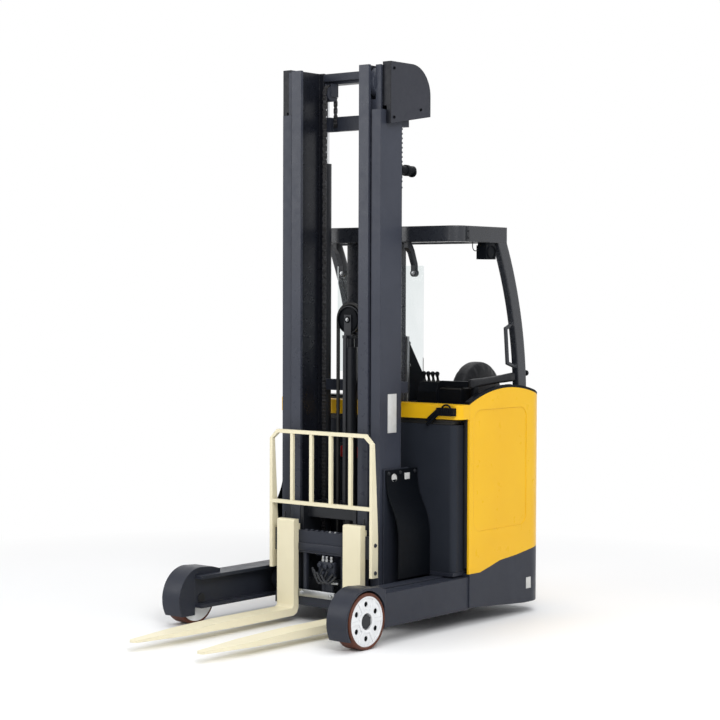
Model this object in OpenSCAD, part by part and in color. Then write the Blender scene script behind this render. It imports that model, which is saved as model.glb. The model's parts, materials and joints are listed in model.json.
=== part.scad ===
// Sit-on reach truck with a three-stage mast, forks to -Y, mast up +Z.
// Inside the modules Y is measured from the load wheel axle, and place() moves it to the truck's centre.

/* [Overall] */
// Load wheel axle to the rear face
rear_reach = 1610; // [1580:10:1700]
// Clear width between the legs
leg_gap = 910; // [880:5:960]
// Radius of the rear corners
corner_r = 150; // [120:5:170]
// Thickness of the body panels
panel_t = 32; // [24:1:36]

/* [Wheels] */
// Load wheel diameter
wheel_d = 285; // [270:5:290]
// Load wheel width
wheel_w = 100; // [90:2:102]
// Tyre thickness on the load wheels
tyre_t = 16; // [10:1:24]
// Load axle radius
axle_r = 25; // [20:1:30]
// Drive wheel diameter
drive_d = 343; // [330:1:350]
// Drive wheel width
drive_w = 114; // [100:2:116]
// Sideways place of the drive wheel
drive_x = 130; // [120:2:140]
// Drive wheel axle behind the load axle
drive_y = 1330; // [1320:2:1340]

/* [Legs] */
// Ground clearance under the legs
leg_z = 90; // [80:1:92]
// Height of a leg
leg_h = 172; // [168:1:174]
// Flange thickness of the roller rail
rail_t = 18; // [14:1:20]
// Reach stroke, from the mast back to fully forward
reach_stroke = 560; // [500:5:565]

/* [Forks] */
// Fork length in front of the shank
fork_len = 1150; // [1000:50:1200]
// Fork width
fork_w = 120; // [100:5:130]
// Fork thickness
fork_t = 40; // [35:1:45]
// Distance between the fork centres
fork_pitch = 460; // [420:10:470]
// Front face of the fork shanks behind the load axle
fork_y = 369; // [360:1:370]
// Top of the fork shanks
fork_top = 554; // [540:2:570]

/* [Load backrest] */
// Width of the load backrest
rest_w = 714; // [700:2:724]
// Top of the load backrest
rest_top = 1035; // [1000:5:1040]
// Number of upright bars
rest_bars = 4; // [2:1:6]

/* [Mast] */
// Width over the outer uprights
mast_w = 676; // [670:2:680]
// Top of the outer uprights
outer_top = 2730; // [2700:5:2735]
// Top of the middle and inner uprights
mast_top = 2965; // [2960:5:2980]
// Flange thickness of the outer and inner uprights
flange_t = 18; // [16:1:20]
// Radius of the lift cylinder barrels
lift_r = 32; // [28:1:34]
// Radius of the lift rods
lift_rod_r = 20; // [16:1:22]
// Radius of the crosshead sheave
sheave_r = 80; // [70:1:82]
// Height of the crosshead sheave
sheave_z = 1628; // [1600:2:1640]
// Width of a lift chain
chain_w = 26; // [20:1:28]

/* [Body] */
// Front edge of the side panels behind the load axle
panel_y = 862; // [855:1:868]
// Highest point of the panels' arched top
panel_top = 1261; // [1250:1:1270]
// Radius of the panels' arched top
panel_arch = 891; // [850:1:950]
// Front face of the battery behind the load axle
battery_y = 780; // [778:1:790]
// Depth of the battery
battery_l = 300; // [270:5:304]
// Height of the battery
battery_h = 784; // [740:4:790]

/* [Operator place] */
// Top of the seat pedestal
pedestal_z = 930; // [900:5:950]
// Middle of the seat behind the load axle
seat_y = 1320; // [1314:1:1326]
// Width of the seat
seat_w = 430; // [400:5:440]
// Top of the seat back
seat_top = 1408; // [1380:2:1430]
// Floor of the footwell
floor_z = 330; // [320:2:345]

/* [Overhead guard] */
// Top of the overhead guard
guard_top = 2130; // [2100:5:2180]
// Height of the guard beams
guard_h = 85; // [70:1:95]
// Number of roof bars
roof_bars = 7; // [4:1:10]

/* [Hidden] */
$fn = 64;

// Colours
paint_yellow = "#f2b01e";
paint_dark = "#3a3e45";
paint_black = "#1d1e21";
paint_cream = "#e6dcb8";
steel = "#b9bcc0";
rubber = "#5a2a1a";

// Clearances: between running curved faces, between moving pieces, and at running shafts
run_gap = 0.3;
move_gap = 6;
shaft_gap = 0.1;

// Places along the truck, behind the load axle: front of the chassis box, and front of the inner mast
chassis_y = battery_y + 90;
inner_y0 = battery_y - 325;
// Fork tip in front of the load axle, and the load axle's place from the middle of the truck
tip_reach = fork_len - fork_y;
axle_y = (tip_reach - rear_reach) / 2;

// Legs: the inner roller rail, the wheel pocket and the outer box
wheel_r = wheel_d / 2;
rail_w = 50;
rail_web = 20;
leg_x0 = leg_gap / 2;
web_x0 = leg_x0 + rail_w;
web_x1 = web_x0 + rail_web;
wheel_x0 = web_x1 + 10;
wheel_x1 = wheel_x0 + wheel_w;
body_x = wheel_x1 - 3;
leg_x1 = body_x - 7;
leg_top = leg_z + leg_h;
rail_z0 = leg_z + 6;
rail_z1 = leg_top + 6;
rail_front = -45;
box_front = wheel_r + 7.5;
hood_gap = 10;
hood_t = 12;
hood_r = wheel_r + hood_gap + hood_t;
hood_z0 = 55;
hub_dish = 26;

// Reach rollers run between the rail flanges
reach_roller_r = (rail_z1 - rail_z0) / 2 - rail_t - run_gap;
reach_roller_z = (rail_z0 + rail_z1) / 2;
reach_roller_y = [battery_y - 160, battery_y + 20];
reach_roller_x0 = leg_x0 + 7;
reach_roller_x1 = web_x0 - 13;

// Body outline and heights
skirt_t = panel_t + 8;
base_z0 = 100;
base_z1 = 130;
tray_z0 = 270;
tray_z1 = 290;
seam_y0 = battery_y - 80;
seam_y1 = rear_reach + 390;
seam = [
  [seam_y0, 280], [rear_reach - 644, 278], [rear_reach - 550, 300], [rear_reach - 457, 324], [rear_reach - 303, 337],
  [rear_reach - 105, 364], [seam_y1, 400]
];
battery_x = body_x - skirt_t;
battery_back = battery_y + battery_l;
arch_y = rear_reach - 380;
arch_z = panel_top - panel_arch;
panel_z0 = arch_z + sqrt(panel_arch * panel_arch - (arch_y - panel_y) * (arch_y - panel_y));
trim_h = 14;
field_depth = 3;
cowl_y0 = battery_y - 8;
cowl_h = 77;
cowl_z0 = panel_z0 - cowl_h;

// Overhead guard: beams, and the curve of its rear pillars
guard_x = body_x - panel_t;
guard_beam = 55;
guard_z0 = guard_top - guard_h;
guard_front = battery_y + 10;
guard_front_d = 90;
pillar_w = 40;
pillar_d = 74;
pillar_r = 1990;
pillar_y = rear_reach - 165;
pillar_z = 1180;
guard_rear = pillar_y - pillar_r * (1 - cos(asin((guard_z0 - pillar_z) / pillar_r)));
front_pillar_x = 150;

// Screen behind the guard's front beam
screen_x = 300;
screen_y0 = guard_front + 100;
screen_y1 = screen_y0 + 6;
screen_z0 = panel_z0 + 153;
screen_z1 = guard_z0 - 125;
arm_x = 250;
arm_r = 14;
post_x = 200;

// Dash: lever console, steering column and gussets
dash_t = 24;
dash_back = battery_back + 5;
gusset_x = 160;
gusset_h = 375;
gusset_l = 200;
lever_x = 250;
lever_w = 130;
lever_y = panel_y + 43;
console_w = 150;
console_h = 70;
lever_d = 100;
lever_z = panel_z0 + 108;
column_y = battery_y + 250;
column_h = 78;
hip_z0 = 1262;
hip_rise = 26;
hip_h = 50;
hip_t = 36;
hip_y0 = panel_y + 68;
hip_y1 = rear_reach - 265;

// Reach cylinder, whose rod leaves the barrel by the stroke and stays in it by a guide length
reach_x = -250;
reach_z = 190;
reach_barrel_r = 35;
reach_rod_r = 18;
reach_barrel_y0 = battery_y + 60;
reach_guide = 30;
reach_rod_y1 = reach_barrel_y0 + reach_stroke + reach_guide;

// Drive unit and its deck
pedestal_t = 20;
pedestal_y0 = battery_back + 7;
pedestal_y1 = rear_reach - skirt_t - 30;
well_gap = 5;
deck_z0 = 430;
deck_z1 = 450;
turret_r = 150;
turret_lip = 20;

// Mast sections, from the outer upright inwards and from the inner upright's front face backwards
outer_web = 14;
outer_flange_w = 61;
inner_flange_w = 66;
stage_gap = 11;
outer_x1 = mast_w / 2;
outer_x0 = outer_x1 - outer_flange_w;
inner_x1 = outer_x0 - stage_gap;
inner_x0 = inner_x1 - inner_flange_w;
inner_web_x0 = inner_x0 + 28;
inner_web_x1 = inner_web_x0 + 14;
middle_x0 = inner_web_x1 + 8;
middle_x1 = outer_x1 - outer_web - move_gap;
middle_web_x0 = middle_x0 + 34;
middle_web_x1 = middle_web_x0 + 12;
middle_flange_t = 14;
inner_depth = 205;
inner_y1 = inner_y0 + inner_depth;
outer_y0 = inner_y0 + 12;
outer_y1 = inner_y1 - 12;
middle_y0 = outer_y0 + flange_t + move_gap;
middle_y1 = outer_y1 - flange_t - move_gap;
mast_y = (inner_y0 + inner_y1) / 2;
outer_z0 = 100;
middle_z0 = 120;
inner_z0 = 130;
outer_roller_r = (outer_y1 - outer_y0) / 2 - flange_t - run_gap;
middle_roller_r = (middle_y1 - middle_y0) / 2 - middle_flange_t - run_gap;
inner_roller_r = inner_depth / 2 - flange_t - run_gap;

// Places behind the mast: ties, lift cylinders, chains
tie_y0 = inner_y1 + 12;
tie_y1 = tie_y0 + 36;
lift_x = 245;
lift_y = tie_y0 + lift_r + 14;
head_y1 = lift_y + lift_rod_r + 4;
lift_foot = 235;
lift_barrel_top = outer_top - 250;
head_z0 = outer_top + 20;
head_beam_z0 = mast_top - 60;
chain_x = 150;
chain_sheave_r = 42;
chain_t = 8;
chain_y = inner_y1 - 20;
chain_z = mast_top - 115;
free_x = 30;
free_y = inner_y0 + 145;
free_r = 38;
free_rod_r = 22;
free_rod_z = 260;
hose_r = 10;

// Fork carriage: cross shaft, side-shift sleeve and fork bars
shaft_y = inner_y0 + 25;
shaft_z = 400;
shaft_r = 20;
sleeve_r = 32;
side_plate_x1 = inner_x0 - 7;
side_plate_x0 = side_plate_x1 - 21;
carriage_z0 = 110;
carriage_z1 = 640;
shank_y1 = fork_y + fork_t;
bar_y1 = shank_y1 + 28;
fork_z0 = 35;
rest_plate_t = 20;
rest_x1 = rest_w / 2;
bar_x = rest_x1 - rest_plate_t;
rest_y0 = fork_y + 15;
rest_y1 = rest_y0 + 20;
lug_x = [50, 80];

// Helpers

module place() {
  translate([0, axle_y, 0]) children();
}

// A Y-Z outline drawn along X
module along_x(x0, x1) {
  translate([x0, 0, 0]) rotate([90, 0, 90]) linear_extrude(x1 - x0) children();
}

// An X-Z outline drawn along Y
module along_y(y0, y1) {
  translate([0, y1, 0]) rotate([90, 0, 0]) linear_extrude(y1 - y0) children();
}

// A block between two corners
module block(a, b) {
  translate(a) cube(b - a);
}

module pair() {
  children();
  mirror([1, 0, 0]) children();
}

// A round bar from point a to point b
module bar(a, b, r) {
  d = b - a;
  len = norm(d);
  translate(a) rotate([0, acos(d[2] / len), atan2(d[1], d[0])]) cylinder(h = len, r = r, $fn = 32);
}

// A cylinder along X
module shaft_along_x(x0, x1, y, z, r) {
  translate([x0, y, z]) rotate([0, 90, 0]) cylinder(h = x1 - x0, r = r);
}

// A cylinder along Y
module shaft_along_y(y0, y1, x, z, r) {
  translate([x, y0, z]) rotate([-90, 0, 0]) cylinder(h = y1 - y0, r = r);
}

// Plan of the body, from chassis_y back to the rounded rear, set in by a margin
module body_plan(inset, front) {
  r = corner_r - inset;
  cx = body_x - corner_r;
  cy = rear_reach - corner_r;
  translate([-(body_x - inset), front]) square([2 * (body_x - inset), cy - front]);
  translate([-cx, front]) square([2 * cx, rear_reach - inset - front]);
  for (s = [-1, 1]) {
    translate([s * cx, cy]) circle(r = r);
  }
}

// A wall that follows the body plan
module body_wall(t, front, z0, z1) {
  translate([0, 0, z0]) linear_extrude(z1 - z0) difference() {
    body_plan(0, front);
    body_plan(t, front - 1);
  }
}

// All that lies above the seam between skirt and panels
module above_seam() {
  along_x(-body_x - 1, body_x + 1) polygon(concat(seam, [[seam_y1, mast_top], [seam_y0, mast_top]]));
}

// All that lies under the sloping top of the panels
module below_top() {
  along_x(-body_x - 1, body_x + 1) {
    translate([arch_y, arch_z]) circle(r = panel_arch, $fn = 240);
    translate([arch_y - panel_arch, 0]) square([2 * panel_arch, arch_z]);
  }
}

// An upright: a web with two flanges, in plan
module upright(x0, x1, web_x0, web_x1, y0, y1, t, z0, z1) {
  translate([0, 0, z0]) linear_extrude(z1 - z0) {
    translate([web_x0, y0]) square([web_x1 - web_x0, y1 - y0]);
    translate([x0, y0]) square([x1 - x0, t]);
    translate([x0, y1 - t]) square([x1 - x0, t]);
  }
}

// Legs and load wheels

module leg() {
  wall = 12;
  groove_depth = 20;
  difference() {
    union() {
      along_y(box_front, chassis_y) translate([wheel_x0, leg_z]) square([leg_x1 - wheel_x0, leg_h]);
      along_y(box_front, chassis_y) translate([web_x1, leg_z + 6])
        square([wheel_x0 - web_x1, leg_h - groove_depth]);
      along_y(rail_front, chassis_y) {
        translate([web_x0, rail_z0]) square([rail_web, rail_z1 - rail_z0]);
        for (z = [rail_z0, rail_z1 - rail_t]) {
          translate([leg_x0, z]) square([web_x1 - leg_x0, rail_t]);
        }
      }
    }
    along_y(box_front + wall, chassis_y + 1) translate([wheel_x0 + wall, leg_z + wall])
      square([leg_x1 - wheel_x0 - 2 * wall, leg_h - 2 * wall]);
    shaft_along_x(web_x0 - 1, web_x1 + 1, 0, wheel_r, axle_r + shaft_gap / 2);
  }
}

module leg_left() {
  color(paint_dark) leg();
}

module leg_right() {
  color(paint_dark) mirror([1, 0, 0]) leg();
}

// Hood over the front and top of a load wheel, with its inner cheek
module wheel_guard() {
  top = wheel_r + hood_r;
  difference() {
    union() {
      along_x(web_x0, wheel_x1 - 3) difference() {
        hood_outline(top);
        translate([0, wheel_r]) circle(r = wheel_r + hood_gap);
      }
      along_x(web_x0, web_x1) hood_outline(top);
    }
    block([leg_x0, rail_front, 0], [web_x1, box_front + 1, rail_z1]);
  }
}

module hood_outline(top) {
  difference() {
    union() {
      translate([0, wheel_r]) circle(r = hood_r);
      polygon([[0, wheel_r], [0, top], [box_front * 0.6, top - 6], [box_front, top - 22], [box_front, wheel_r]]);
    }
    translate([-2 * hood_r, hood_z0 - 200]) square([4 * hood_r, 200]);
    translate([0, 0]) square([2 * hood_r, leg_top - 60]);
    translate([box_front, 0]) square([hood_r, 2 * hood_r]);
  }
}

module wheel_guard_left() {
  color(paint_dark) wheel_guard();
}

module wheel_guard_right() {
  color(paint_dark) mirror([1, 0, 0]) wheel_guard();
}

module load_axles() {
  head_r = axle_r + 3;
  nut_r = axle_r + 12;
  color(paint_black) pair() {
    shaft_along_x(web_x0 - 5, wheel_x1 - hub_dish, 0, wheel_r, axle_r);
    translate([web_x0 - 6, 0, wheel_r]) rotate([0, 90, 0]) cylinder(h = 6, r = head_r, $fn = 6);
    translate([wheel_x1 - hub_dish, 0, wheel_r]) rotate([0, 90, 0]) cylinder(h = hub_dish - 7, r = nut_r, $fn = 6);
  }
}

module load_hub() {
  rim_r = wheel_r - tyre_t;
  face_x = wheel_x1 - 4;
  pitch_r = 0.68 * rim_r;
  hole_r = 0.11 * rim_r;
  difference() {
    shaft_along_x(wheel_x0, face_x, 0, wheel_r, rim_r - 0.02);
    shaft_along_x(wheel_x0 - 1, wheel_x1, 0, wheel_r, axle_r + shaft_gap);
    shaft_along_x(wheel_x1 - hub_dish - 2, wheel_x1, 0, wheel_r, axle_r + 17);
    translate([face_x - 6, 0, wheel_r]) rotate([0, 90, 0]) difference() {
      cylinder(h = 7, r = rim_r - 10);
      translate([0, 0, -1]) cylinder(h = 9, r = 0.46 * rim_r);
    }
    for (a = [0 : 60 : 300]) {
      translate([0, 0, wheel_r]) rotate([a, 0, 0]) {
        shaft_along_x(wheel_x1 - 45, wheel_x1, 0, pitch_r, hole_r);
      }
    }
  }
  for (a = [30 : 60 : 330]) {
    translate([0, 0, wheel_r]) rotate([a, 0, 0])
      block([face_x - 6, -9, 0.46 * rim_r - 2], [face_x, 9, rim_r - 8]);
  }
}

module load_tyre() {
  rim_r = wheel_r - tyre_t;
  edge = 6;
  translate([wheel_x0, 0, wheel_r]) rotate([0, 90, 0]) rotate_extrude() polygon([
    [rim_r, 2], [wheel_r - edge, 0], [wheel_r, edge],
    [wheel_r, wheel_w - edge], [wheel_r - edge, wheel_w], [rim_r, wheel_w - 2]
  ]);
}

module load_hub_left() {
  color("white") load_hub();
}

module load_hub_right() {
  color("white") mirror([1, 0, 0]) load_hub();
}

module load_tyre_left() {
  color(rubber) load_tyre();
}

module load_tyre_right() {
  color(rubber) mirror([1, 0, 0]) load_tyre();
}

// Chassis and body

module chassis_skirt() {
  low = 62;
  toe = 98;
  belly = [[chassis_y - 1, 0], [chassis_y - 1, toe], [rear_reach - 220, low], [rear_reach - 70, low], [rear_reach + 1, toe + 24],
           [rear_reach + 1, 0]];
  color(paint_dark) difference() {
    body_wall(skirt_t, chassis_y, low - 10, 420);
    above_seam();
    along_x(-body_x - 1, body_x + 1) polygon(belly);
  }
}

module chassis_base() {
  inset = skirt_t;
  wall = 15;
  well_x0 = drive_x - turret_r - 90;
  well_x1 = drive_x + turret_r + 90;
  well_y0 = pedestal_y0 + pedestal_t + well_gap;
  well_y1 = pedestal_y1 - pedestal_t - well_gap;
  color(paint_dark) {
    difference() {
      union() {
        translate([0, 0, base_z0]) linear_extrude(base_z1 - base_z0) body_plan(inset, chassis_y);
        block([-(body_x - inset), chassis_y, base_z1], [body_x - inset, battery_back + 5, tray_z0]);
        block([-battery_x, battery_y - 5, tray_z0], [battery_x, battery_back + 5, tray_z1]);
        for (x = [well_x0, well_x1 - wall]) {
          block([x, well_y0, base_z1], [x + wall, well_y1, deck_z1]);
        }
        block([well_x0, well_y0, deck_z0], [well_x1, well_y1, deck_z1]);
      }
      translate([drive_x, drive_y, base_z0 - 1]) cylinder(h = base_z1 - base_z0 + 2, r = turret_r + 65);
      translate([drive_x, drive_y, deck_z0 - 1]) cylinder(h = deck_z1 - deck_z0 + 2, r = turret_r + run_gap);
      shaft_along_y(chassis_y - 1, battery_back + 6, reach_x, reach_z, reach_barrel_r + run_gap);
    }
  }
}

module battery() {
  edge = 30;
  color(paint_dark) translate([0, 0, tray_z1]) linear_extrude(battery_h) {
    translate([-battery_x, battery_y + edge]) square([2 * battery_x, battery_l - edge]);
    translate([-battery_x + edge, battery_y]) square([2 * (battery_x - edge), battery_l]);
    for (s = [-1, 1]) {
      translate([s * (battery_x - edge), battery_y + edge]) circle(r = edge);
    }
  }
}

// Plug on the cowl and its two leads down to the battery
module battery_plug() {
  plug_x1 = body_x - 22;
  plug_x0 = plug_x1 - 110;
  plug_y = cowl_y0 - 30;
  lead_r = 9;
  color(paint_black) {
    block([plug_x0, plug_y, cowl_z0 + 20], [plug_x1, cowl_y0, cowl_z0 + 62]);
    for (dz = [30, 52]) {
      bar([plug_x0 + 4, plug_y + 14, cowl_z0 + dz], [plug_x0 - 70, plug_y + 14, cowl_z0 + dz - 60], lead_r);
    }
  }
}

module panel_shell(front) {
  intersection() {
    body_wall(panel_t, front, 250, panel_top + 10);
    above_seam();
    below_top();
  }
}

module side_panel() {
  seam_x = body_x - corner_r;
  lip = 12;
  lip_l = 30;
  color(paint_yellow) difference() {
    intersection() {
      panel_shell(panel_y);
      block([seam_x, panel_y, 0], [body_x + 1, rear_reach + 1, 2000]);
    }
    block([body_x - panel_t - 1, panel_y - 1, 0], [body_x - lip, panel_y + lip_l, cowl_z0]);
    along_x(body_x - field_depth, body_x + 1) field_outline();
  }
}

// Shallow field pressed into the near panel
module field_outline() {
  r = 60;
  y0 = panel_y + 42;
  y1 = rear_reach - corner_r - 58;
  z0 = 500;
  z1 = panel_z0 - 32;
  translate([y0, z0 + r]) square([y1 - y0, z1 - z0 - 2 * r]);
  translate([y0 + r, z0]) square([y1 - y0 - 2 * r, z1 - z0]);
  for (y = [y0 + r, y1 - r], z = [z0 + r, z1 - r]) {
    translate([y, z]) circle(r = r);
  }
}

module rear_panel() {
  seam_x = body_x - corner_r;
  entry_y = rear_reach - corner_r - 60;
  slot_w = 360;
  slot_h = 16;
  slot_z0 = 500;
  color(paint_yellow) difference() {
    intersection() {
      panel_shell(entry_y);
      block([-body_x - 1, entry_y, 0], [seam_x, rear_reach + 1, 2000]);
    }
    for (i = [0 : 5]) {
      z = slot_z0 + 2.5 * slot_h * i;
      block([-slot_w / 2, rear_reach - panel_t - 1, z], [slot_w / 2, rear_reach + 1, z + slot_h]);
    }
  }
}

module battery_cover() {
  color(paint_yellow) intersection() {
    panel_shell(panel_y);
    block([-body_x - 1, panel_y, 0], [-body_x + panel_t, battery_back + 15, 2000]);
  }
}

// Yellow cap over the battery's front, with a folded front and ends
module cowl() {
  edge = 40;
  color(paint_yellow) difference() {
    translate([0, 0, cowl_z0]) linear_extrude(panel_z0 - cowl_z0) cowl_plan(0, edge);
    translate([0, 0, cowl_z0 - 1]) linear_extrude(panel_z0 - cowl_z0 - 24) cowl_plan(panel_t, edge);
  }
}

module cowl_plan(inset, edge) {
  r = edge - inset;
  y0 = cowl_y0 + inset;
  x = body_x - inset;
  back = panel_y + (inset > 0 ? 1 : 0);
  translate([-x, y0 + max(r, 0)]) square([2 * x, back - y0 - max(r, 0)]);
  if (r > 0) {
    translate([-x + r, y0]) square([2 * (x - r), back - y0]);
    for (s = [-1, 1]) {
      translate([s * (x - r), y0 + r]) circle(r = r);
    }
  }
}

// Dark band on top of the panels
module top_trim() {
  color(paint_black) difference() {
    intersection() {
      body_wall(panel_t - 2, panel_y, 1000, panel_top + trim_h);
      translate([0, 0, trim_h]) below_top();
    }
    below_top();
    block([-body_x - 1, panel_y - 1, 0], [-body_x + corner_r, rear_reach - corner_r - 60, 2000]);
  }
}

module footwell() {
  front = battery_back + 7;
  back = rear_reach - skirt_t - 10;
  inner = drive_x - turret_r - 92 - 42;
  color(paint_black) {
    difference() {
      intersection() {
        block([-(body_x - skirt_t - 2), front, floor_z - 25], [inner, back, floor_z]);
        translate([0, 0, 100]) linear_extrude(400) body_plan(skirt_t + 2, chassis_y);
      }
      for (i = [0 : 5]) {
        block([-520, front + 60 + i * 60, floor_z - 4], [inner - 60, front + 80 + i * 60, floor_z + 1]);
      }
    }
    block([-(body_x - skirt_t - 2), front, base_z1], [-(body_x - skirt_t - 30), rear_reach - corner_r, floor_z - 25]);
    for (x = [-470, -330]) {
      translate([x, front + 40, floor_z]) rotate([-35, 0, 0]) translate([-45, -6, 0]) cube([90, 12, 110]);
    }
  }
}

// Seat pedestal, a cover over the drive unit
module seat_pedestal() {
  t = pedestal_t;
  x0 = drive_x - turret_r - 130;
  x1 = body_x - panel_t - 50;
  color(paint_dark) difference() {
    block([x0, pedestal_y0, base_z1], [x1, pedestal_y1, pedestal_z]);
    block([x0 + t, pedestal_y0 + t, base_z1 - 1], [x1 - t, pedestal_y1 - t, pedestal_z - t]);
  }
}

module seat_cushion() {
  r = 60;
  x0 = -130;
  x1 = 296;
  color(paint_black) translate([0, 0, pedestal_z]) linear_extrude(120) {
    translate([x0, seat_y - seat_w / 2 + r]) square([x1 - x0, seat_w - 2 * r]);
    translate([x0 + r, seat_y - seat_w / 2]) square([x1 - x0 - r, seat_w]);
    for (s = [-1, 1]) {
      translate([x0 + r, seat_y + s * (seat_w / 2 - r)]) circle(r = r);
    }
  }
}

// Domed seat back, seen from its rear on the near side
module seat_back() {
  x0 = 300;
  t = 95;
  dome_r = seat_w / 2;
  color(paint_black) along_x(x0, x0 + t) {
    translate([seat_y - dome_r, pedestal_z]) square([seat_w, seat_top - dome_r - pedestal_z]);
    intersection() {
      translate([seat_y, seat_top - dome_r]) circle(r = dome_r);
      translate([seat_y - dome_r, pedestal_z]) square([seat_w, 800]);
    }
  }
}

// Padded rail behind the seat, on two posts from the near panel
module hip_rail() {
  x1 = body_x - panel_t;
  x0 = x1 - hip_t;
  post = 40;
  color(paint_black) {
    along_x(x0, x1) polygon([[hip_y0, hip_z0], [hip_y1, hip_z0 + hip_rise], [hip_y1, hip_z0 + hip_rise + hip_h],
                             [hip_y0 + 14, hip_z0 + hip_h], [hip_y0, hip_z0 + hip_h - 14]]);
    for (y = [hip_y0 + 30, hip_y1 - 30 - post]) {
      block([x0, y, panel_z0], [x1, y + post, hip_z0 + (y - hip_y0) / (hip_y1 - hip_y0) * hip_rise + 1]);
    }
  }
}

// Dash over the battery, with the lever console on its near end
module dash_console() {
  z0 = panel_z0 - dash_t;
  x = body_x - panel_t;
  knob = 7;
  arm_z = hip_z0 + 5;
  color(paint_black) {
    block([-x, panel_y, z0], [x - 2, dash_back, panel_z0]);
    along_x(lever_x, lever_x + lever_w) polygon([
      [lever_y, panel_z0], [lever_y + lever_d, panel_z0], [lever_y + lever_d, lever_z - 20],
      [lever_y + 0.7 * lever_d, lever_z], [lever_y + 0.2 * lever_d, lever_z], [lever_y, lever_z - 50]
    ]);
    for (i = [0 : 3]) {
      lx = lever_x + 20 + 30 * i;
      bar([lx, lever_y + 45, lever_z - 2], [lx, lever_y + 35, lever_z + 40], knob);
    }
    block([lever_x + lever_w, hip_y0 + 5, arm_z], [x - hip_t, hip_y0 + 35, arm_z + 32]);
    block([lever_x + lever_w, lever_y + 20, panel_z0], [lever_x + lever_w + console_w, battery_back - 15, panel_z0 + console_h]);
    block([-110, column_y - 50, panel_z0], [110, column_y + 40, panel_z0 + 33]);
    translate([0, column_y, panel_z0 + 33]) cylinder(h = column_h - 33, r = 34);
    for (s = [-1, 1]) {
      along_x(s * gusset_x - 5, s * gusset_x + 5) polygon([
        [screen_y1, panel_z0], [screen_y1, panel_z0 + gusset_h], [screen_y1 + 0.16 * gusset_l, panel_z0 + 0.93 * gusset_h],
        [screen_y1 + gusset_l - 20, panel_z0 + 0.38 * gusset_h], [screen_y1 + gusset_l, panel_z0]
      ]);
    }
  }
}

module steering_wheel() {
  ring_r = 105;
  grip_r = 13;
  hub_r = 40;
  color(paint_black) translate([0, column_y, panel_z0 + column_h]) {
    rotate_extrude() translate([ring_r, grip_r + 1]) circle(r = grip_r);
    cylinder(h = 2 * grip_r, r = hub_r);
    for (a = [90 : 120 : 330]) {
      rotate([0, 0, a]) translate([hub_r - 4, -11, 8]) cube([ring_r - hub_r - 4, 22, 10]);
    }
    translate([0, -ring_r, 24]) cylinder(h = 40, r = 18);
  }
}

// Overhead guard

module guard_outline(inset) {
  r = 60 - inset / 2;
  x = guard_x - inset;
  y0 = guard_front + (inset > 0 ? guard_front_d : 0);
  y1 = guard_rear - inset;
  translate([-x + r, y0]) square([2 * (x - r), r]);
  for (s = [-1, 1]) {
    translate([s * (x - r), y0 + r]) circle(r = r);
  }
  translate([-x, y0 + r]) square([2 * x, y1 - y0 - r]);
}

module guard_roof() {
  span = 2 * (guard_x - guard_beam);
  step = span / (roof_bars + 1);
  bar_w = 18;
  color(paint_black) {
    translate([0, 0, guard_z0]) linear_extrude(guard_h) difference() {
      guard_outline(0);
      guard_outline(guard_beam);
    }
    for (i = [1 : roof_bars]) {
      x = -span / 2 + i * step;
      block([x - bar_w / 2, guard_front + guard_front_d, guard_top - 50],
            [x + bar_w / 2, guard_rear - guard_beam + 4, guard_top - 6]);
    }
  }
}

module guard_pillars() {
  color(paint_black) {
    rear_pillar(guard_x - pillar_w);
    rear_pillar(-guard_x);
    for (s = [-1, 1]) {
      block([s * front_pillar_x - 40, guard_front + 50, panel_z0],
            [s * front_pillar_x + 40, guard_front + guard_front_d, guard_z0]);
    }
    grab_handle();
  }
}

// A rear pillar: a bowed bar from inside the panels up to the roof's rear corner
module rear_pillar(x) {
  along_x(x, x + pillar_w) intersection() {
    translate([pillar_y - pillar_r, pillar_z]) difference() {
      circle(r = pillar_r, $fn = 360);
      circle(r = pillar_r - pillar_d, $fn = 360);
    }
    translate([guard_front, pillar_z]) square([rear_reach - guard_front, guard_z0 - pillar_z]);
  }
  block([x, pillar_y - pillar_d, pillar_z - 80], [x + pillar_w, pillar_y, pillar_z]);
}

// Grab handle on the front edge of the near rear pillar
module grab_handle() {
  x = guard_x - pillar_w / 2;
  grip_r = 11;
  low = [pillar_y - 157, pillar_z + 216];
  high = [low[0] - 20, low[1] + 176];
  bar([x, low[0], low[1] - 12], [x, high[0], high[1] + 12], grip_r);
  bar([x, low[0] - 2, low[1] - 6], [x, low[0] + 95, low[1] - 34], grip_r);
  bar([x, high[0] - 2, high[1] + 6], [x, high[0] + 90, high[1] + 44], grip_r);
}

module screen() {
  color("#bcd3dc", 0.4) block([-screen_x, screen_y0, screen_z0], [screen_x, screen_y1, screen_z1]);
}

// Two light posts that hold the screen's foot
module screen_posts() {
  post_w = 16;
  color(steel) for (s = [-1, 1]) {
    block([s * post_x - post_w / 2, screen_y0 - post_w, panel_z0], [s * post_x + post_w / 2, screen_y0, panel_z0 + 355]);
  }
}

// Two hooked arms from the guard's front beam to the screen
module screen_arms() {
  foot = guard_front + 12;
  eye_z = screen_z1 - 40;
  strap = [
    [foot, guard_z0], [foot + 30, guard_z0], [foot + 56, guard_z0 - 40], [foot + 86, guard_z0 - 116],
    [screen_y0, eye_z], [screen_y0 - 26, eye_z], [foot + 60, guard_z0 - 122], [foot + 30, guard_z0 - 56],
    [foot, guard_z0 - 30]
  ];
  color(paint_black) for (s = [-1, 1]) {
    x = s * arm_x;
    along_x(x - arm_r, x + arm_r) polygon(strap);
    shaft_along_y(screen_y0 - 26, screen_y0, x, eye_z, arm_r + 6);
  }
}

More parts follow.
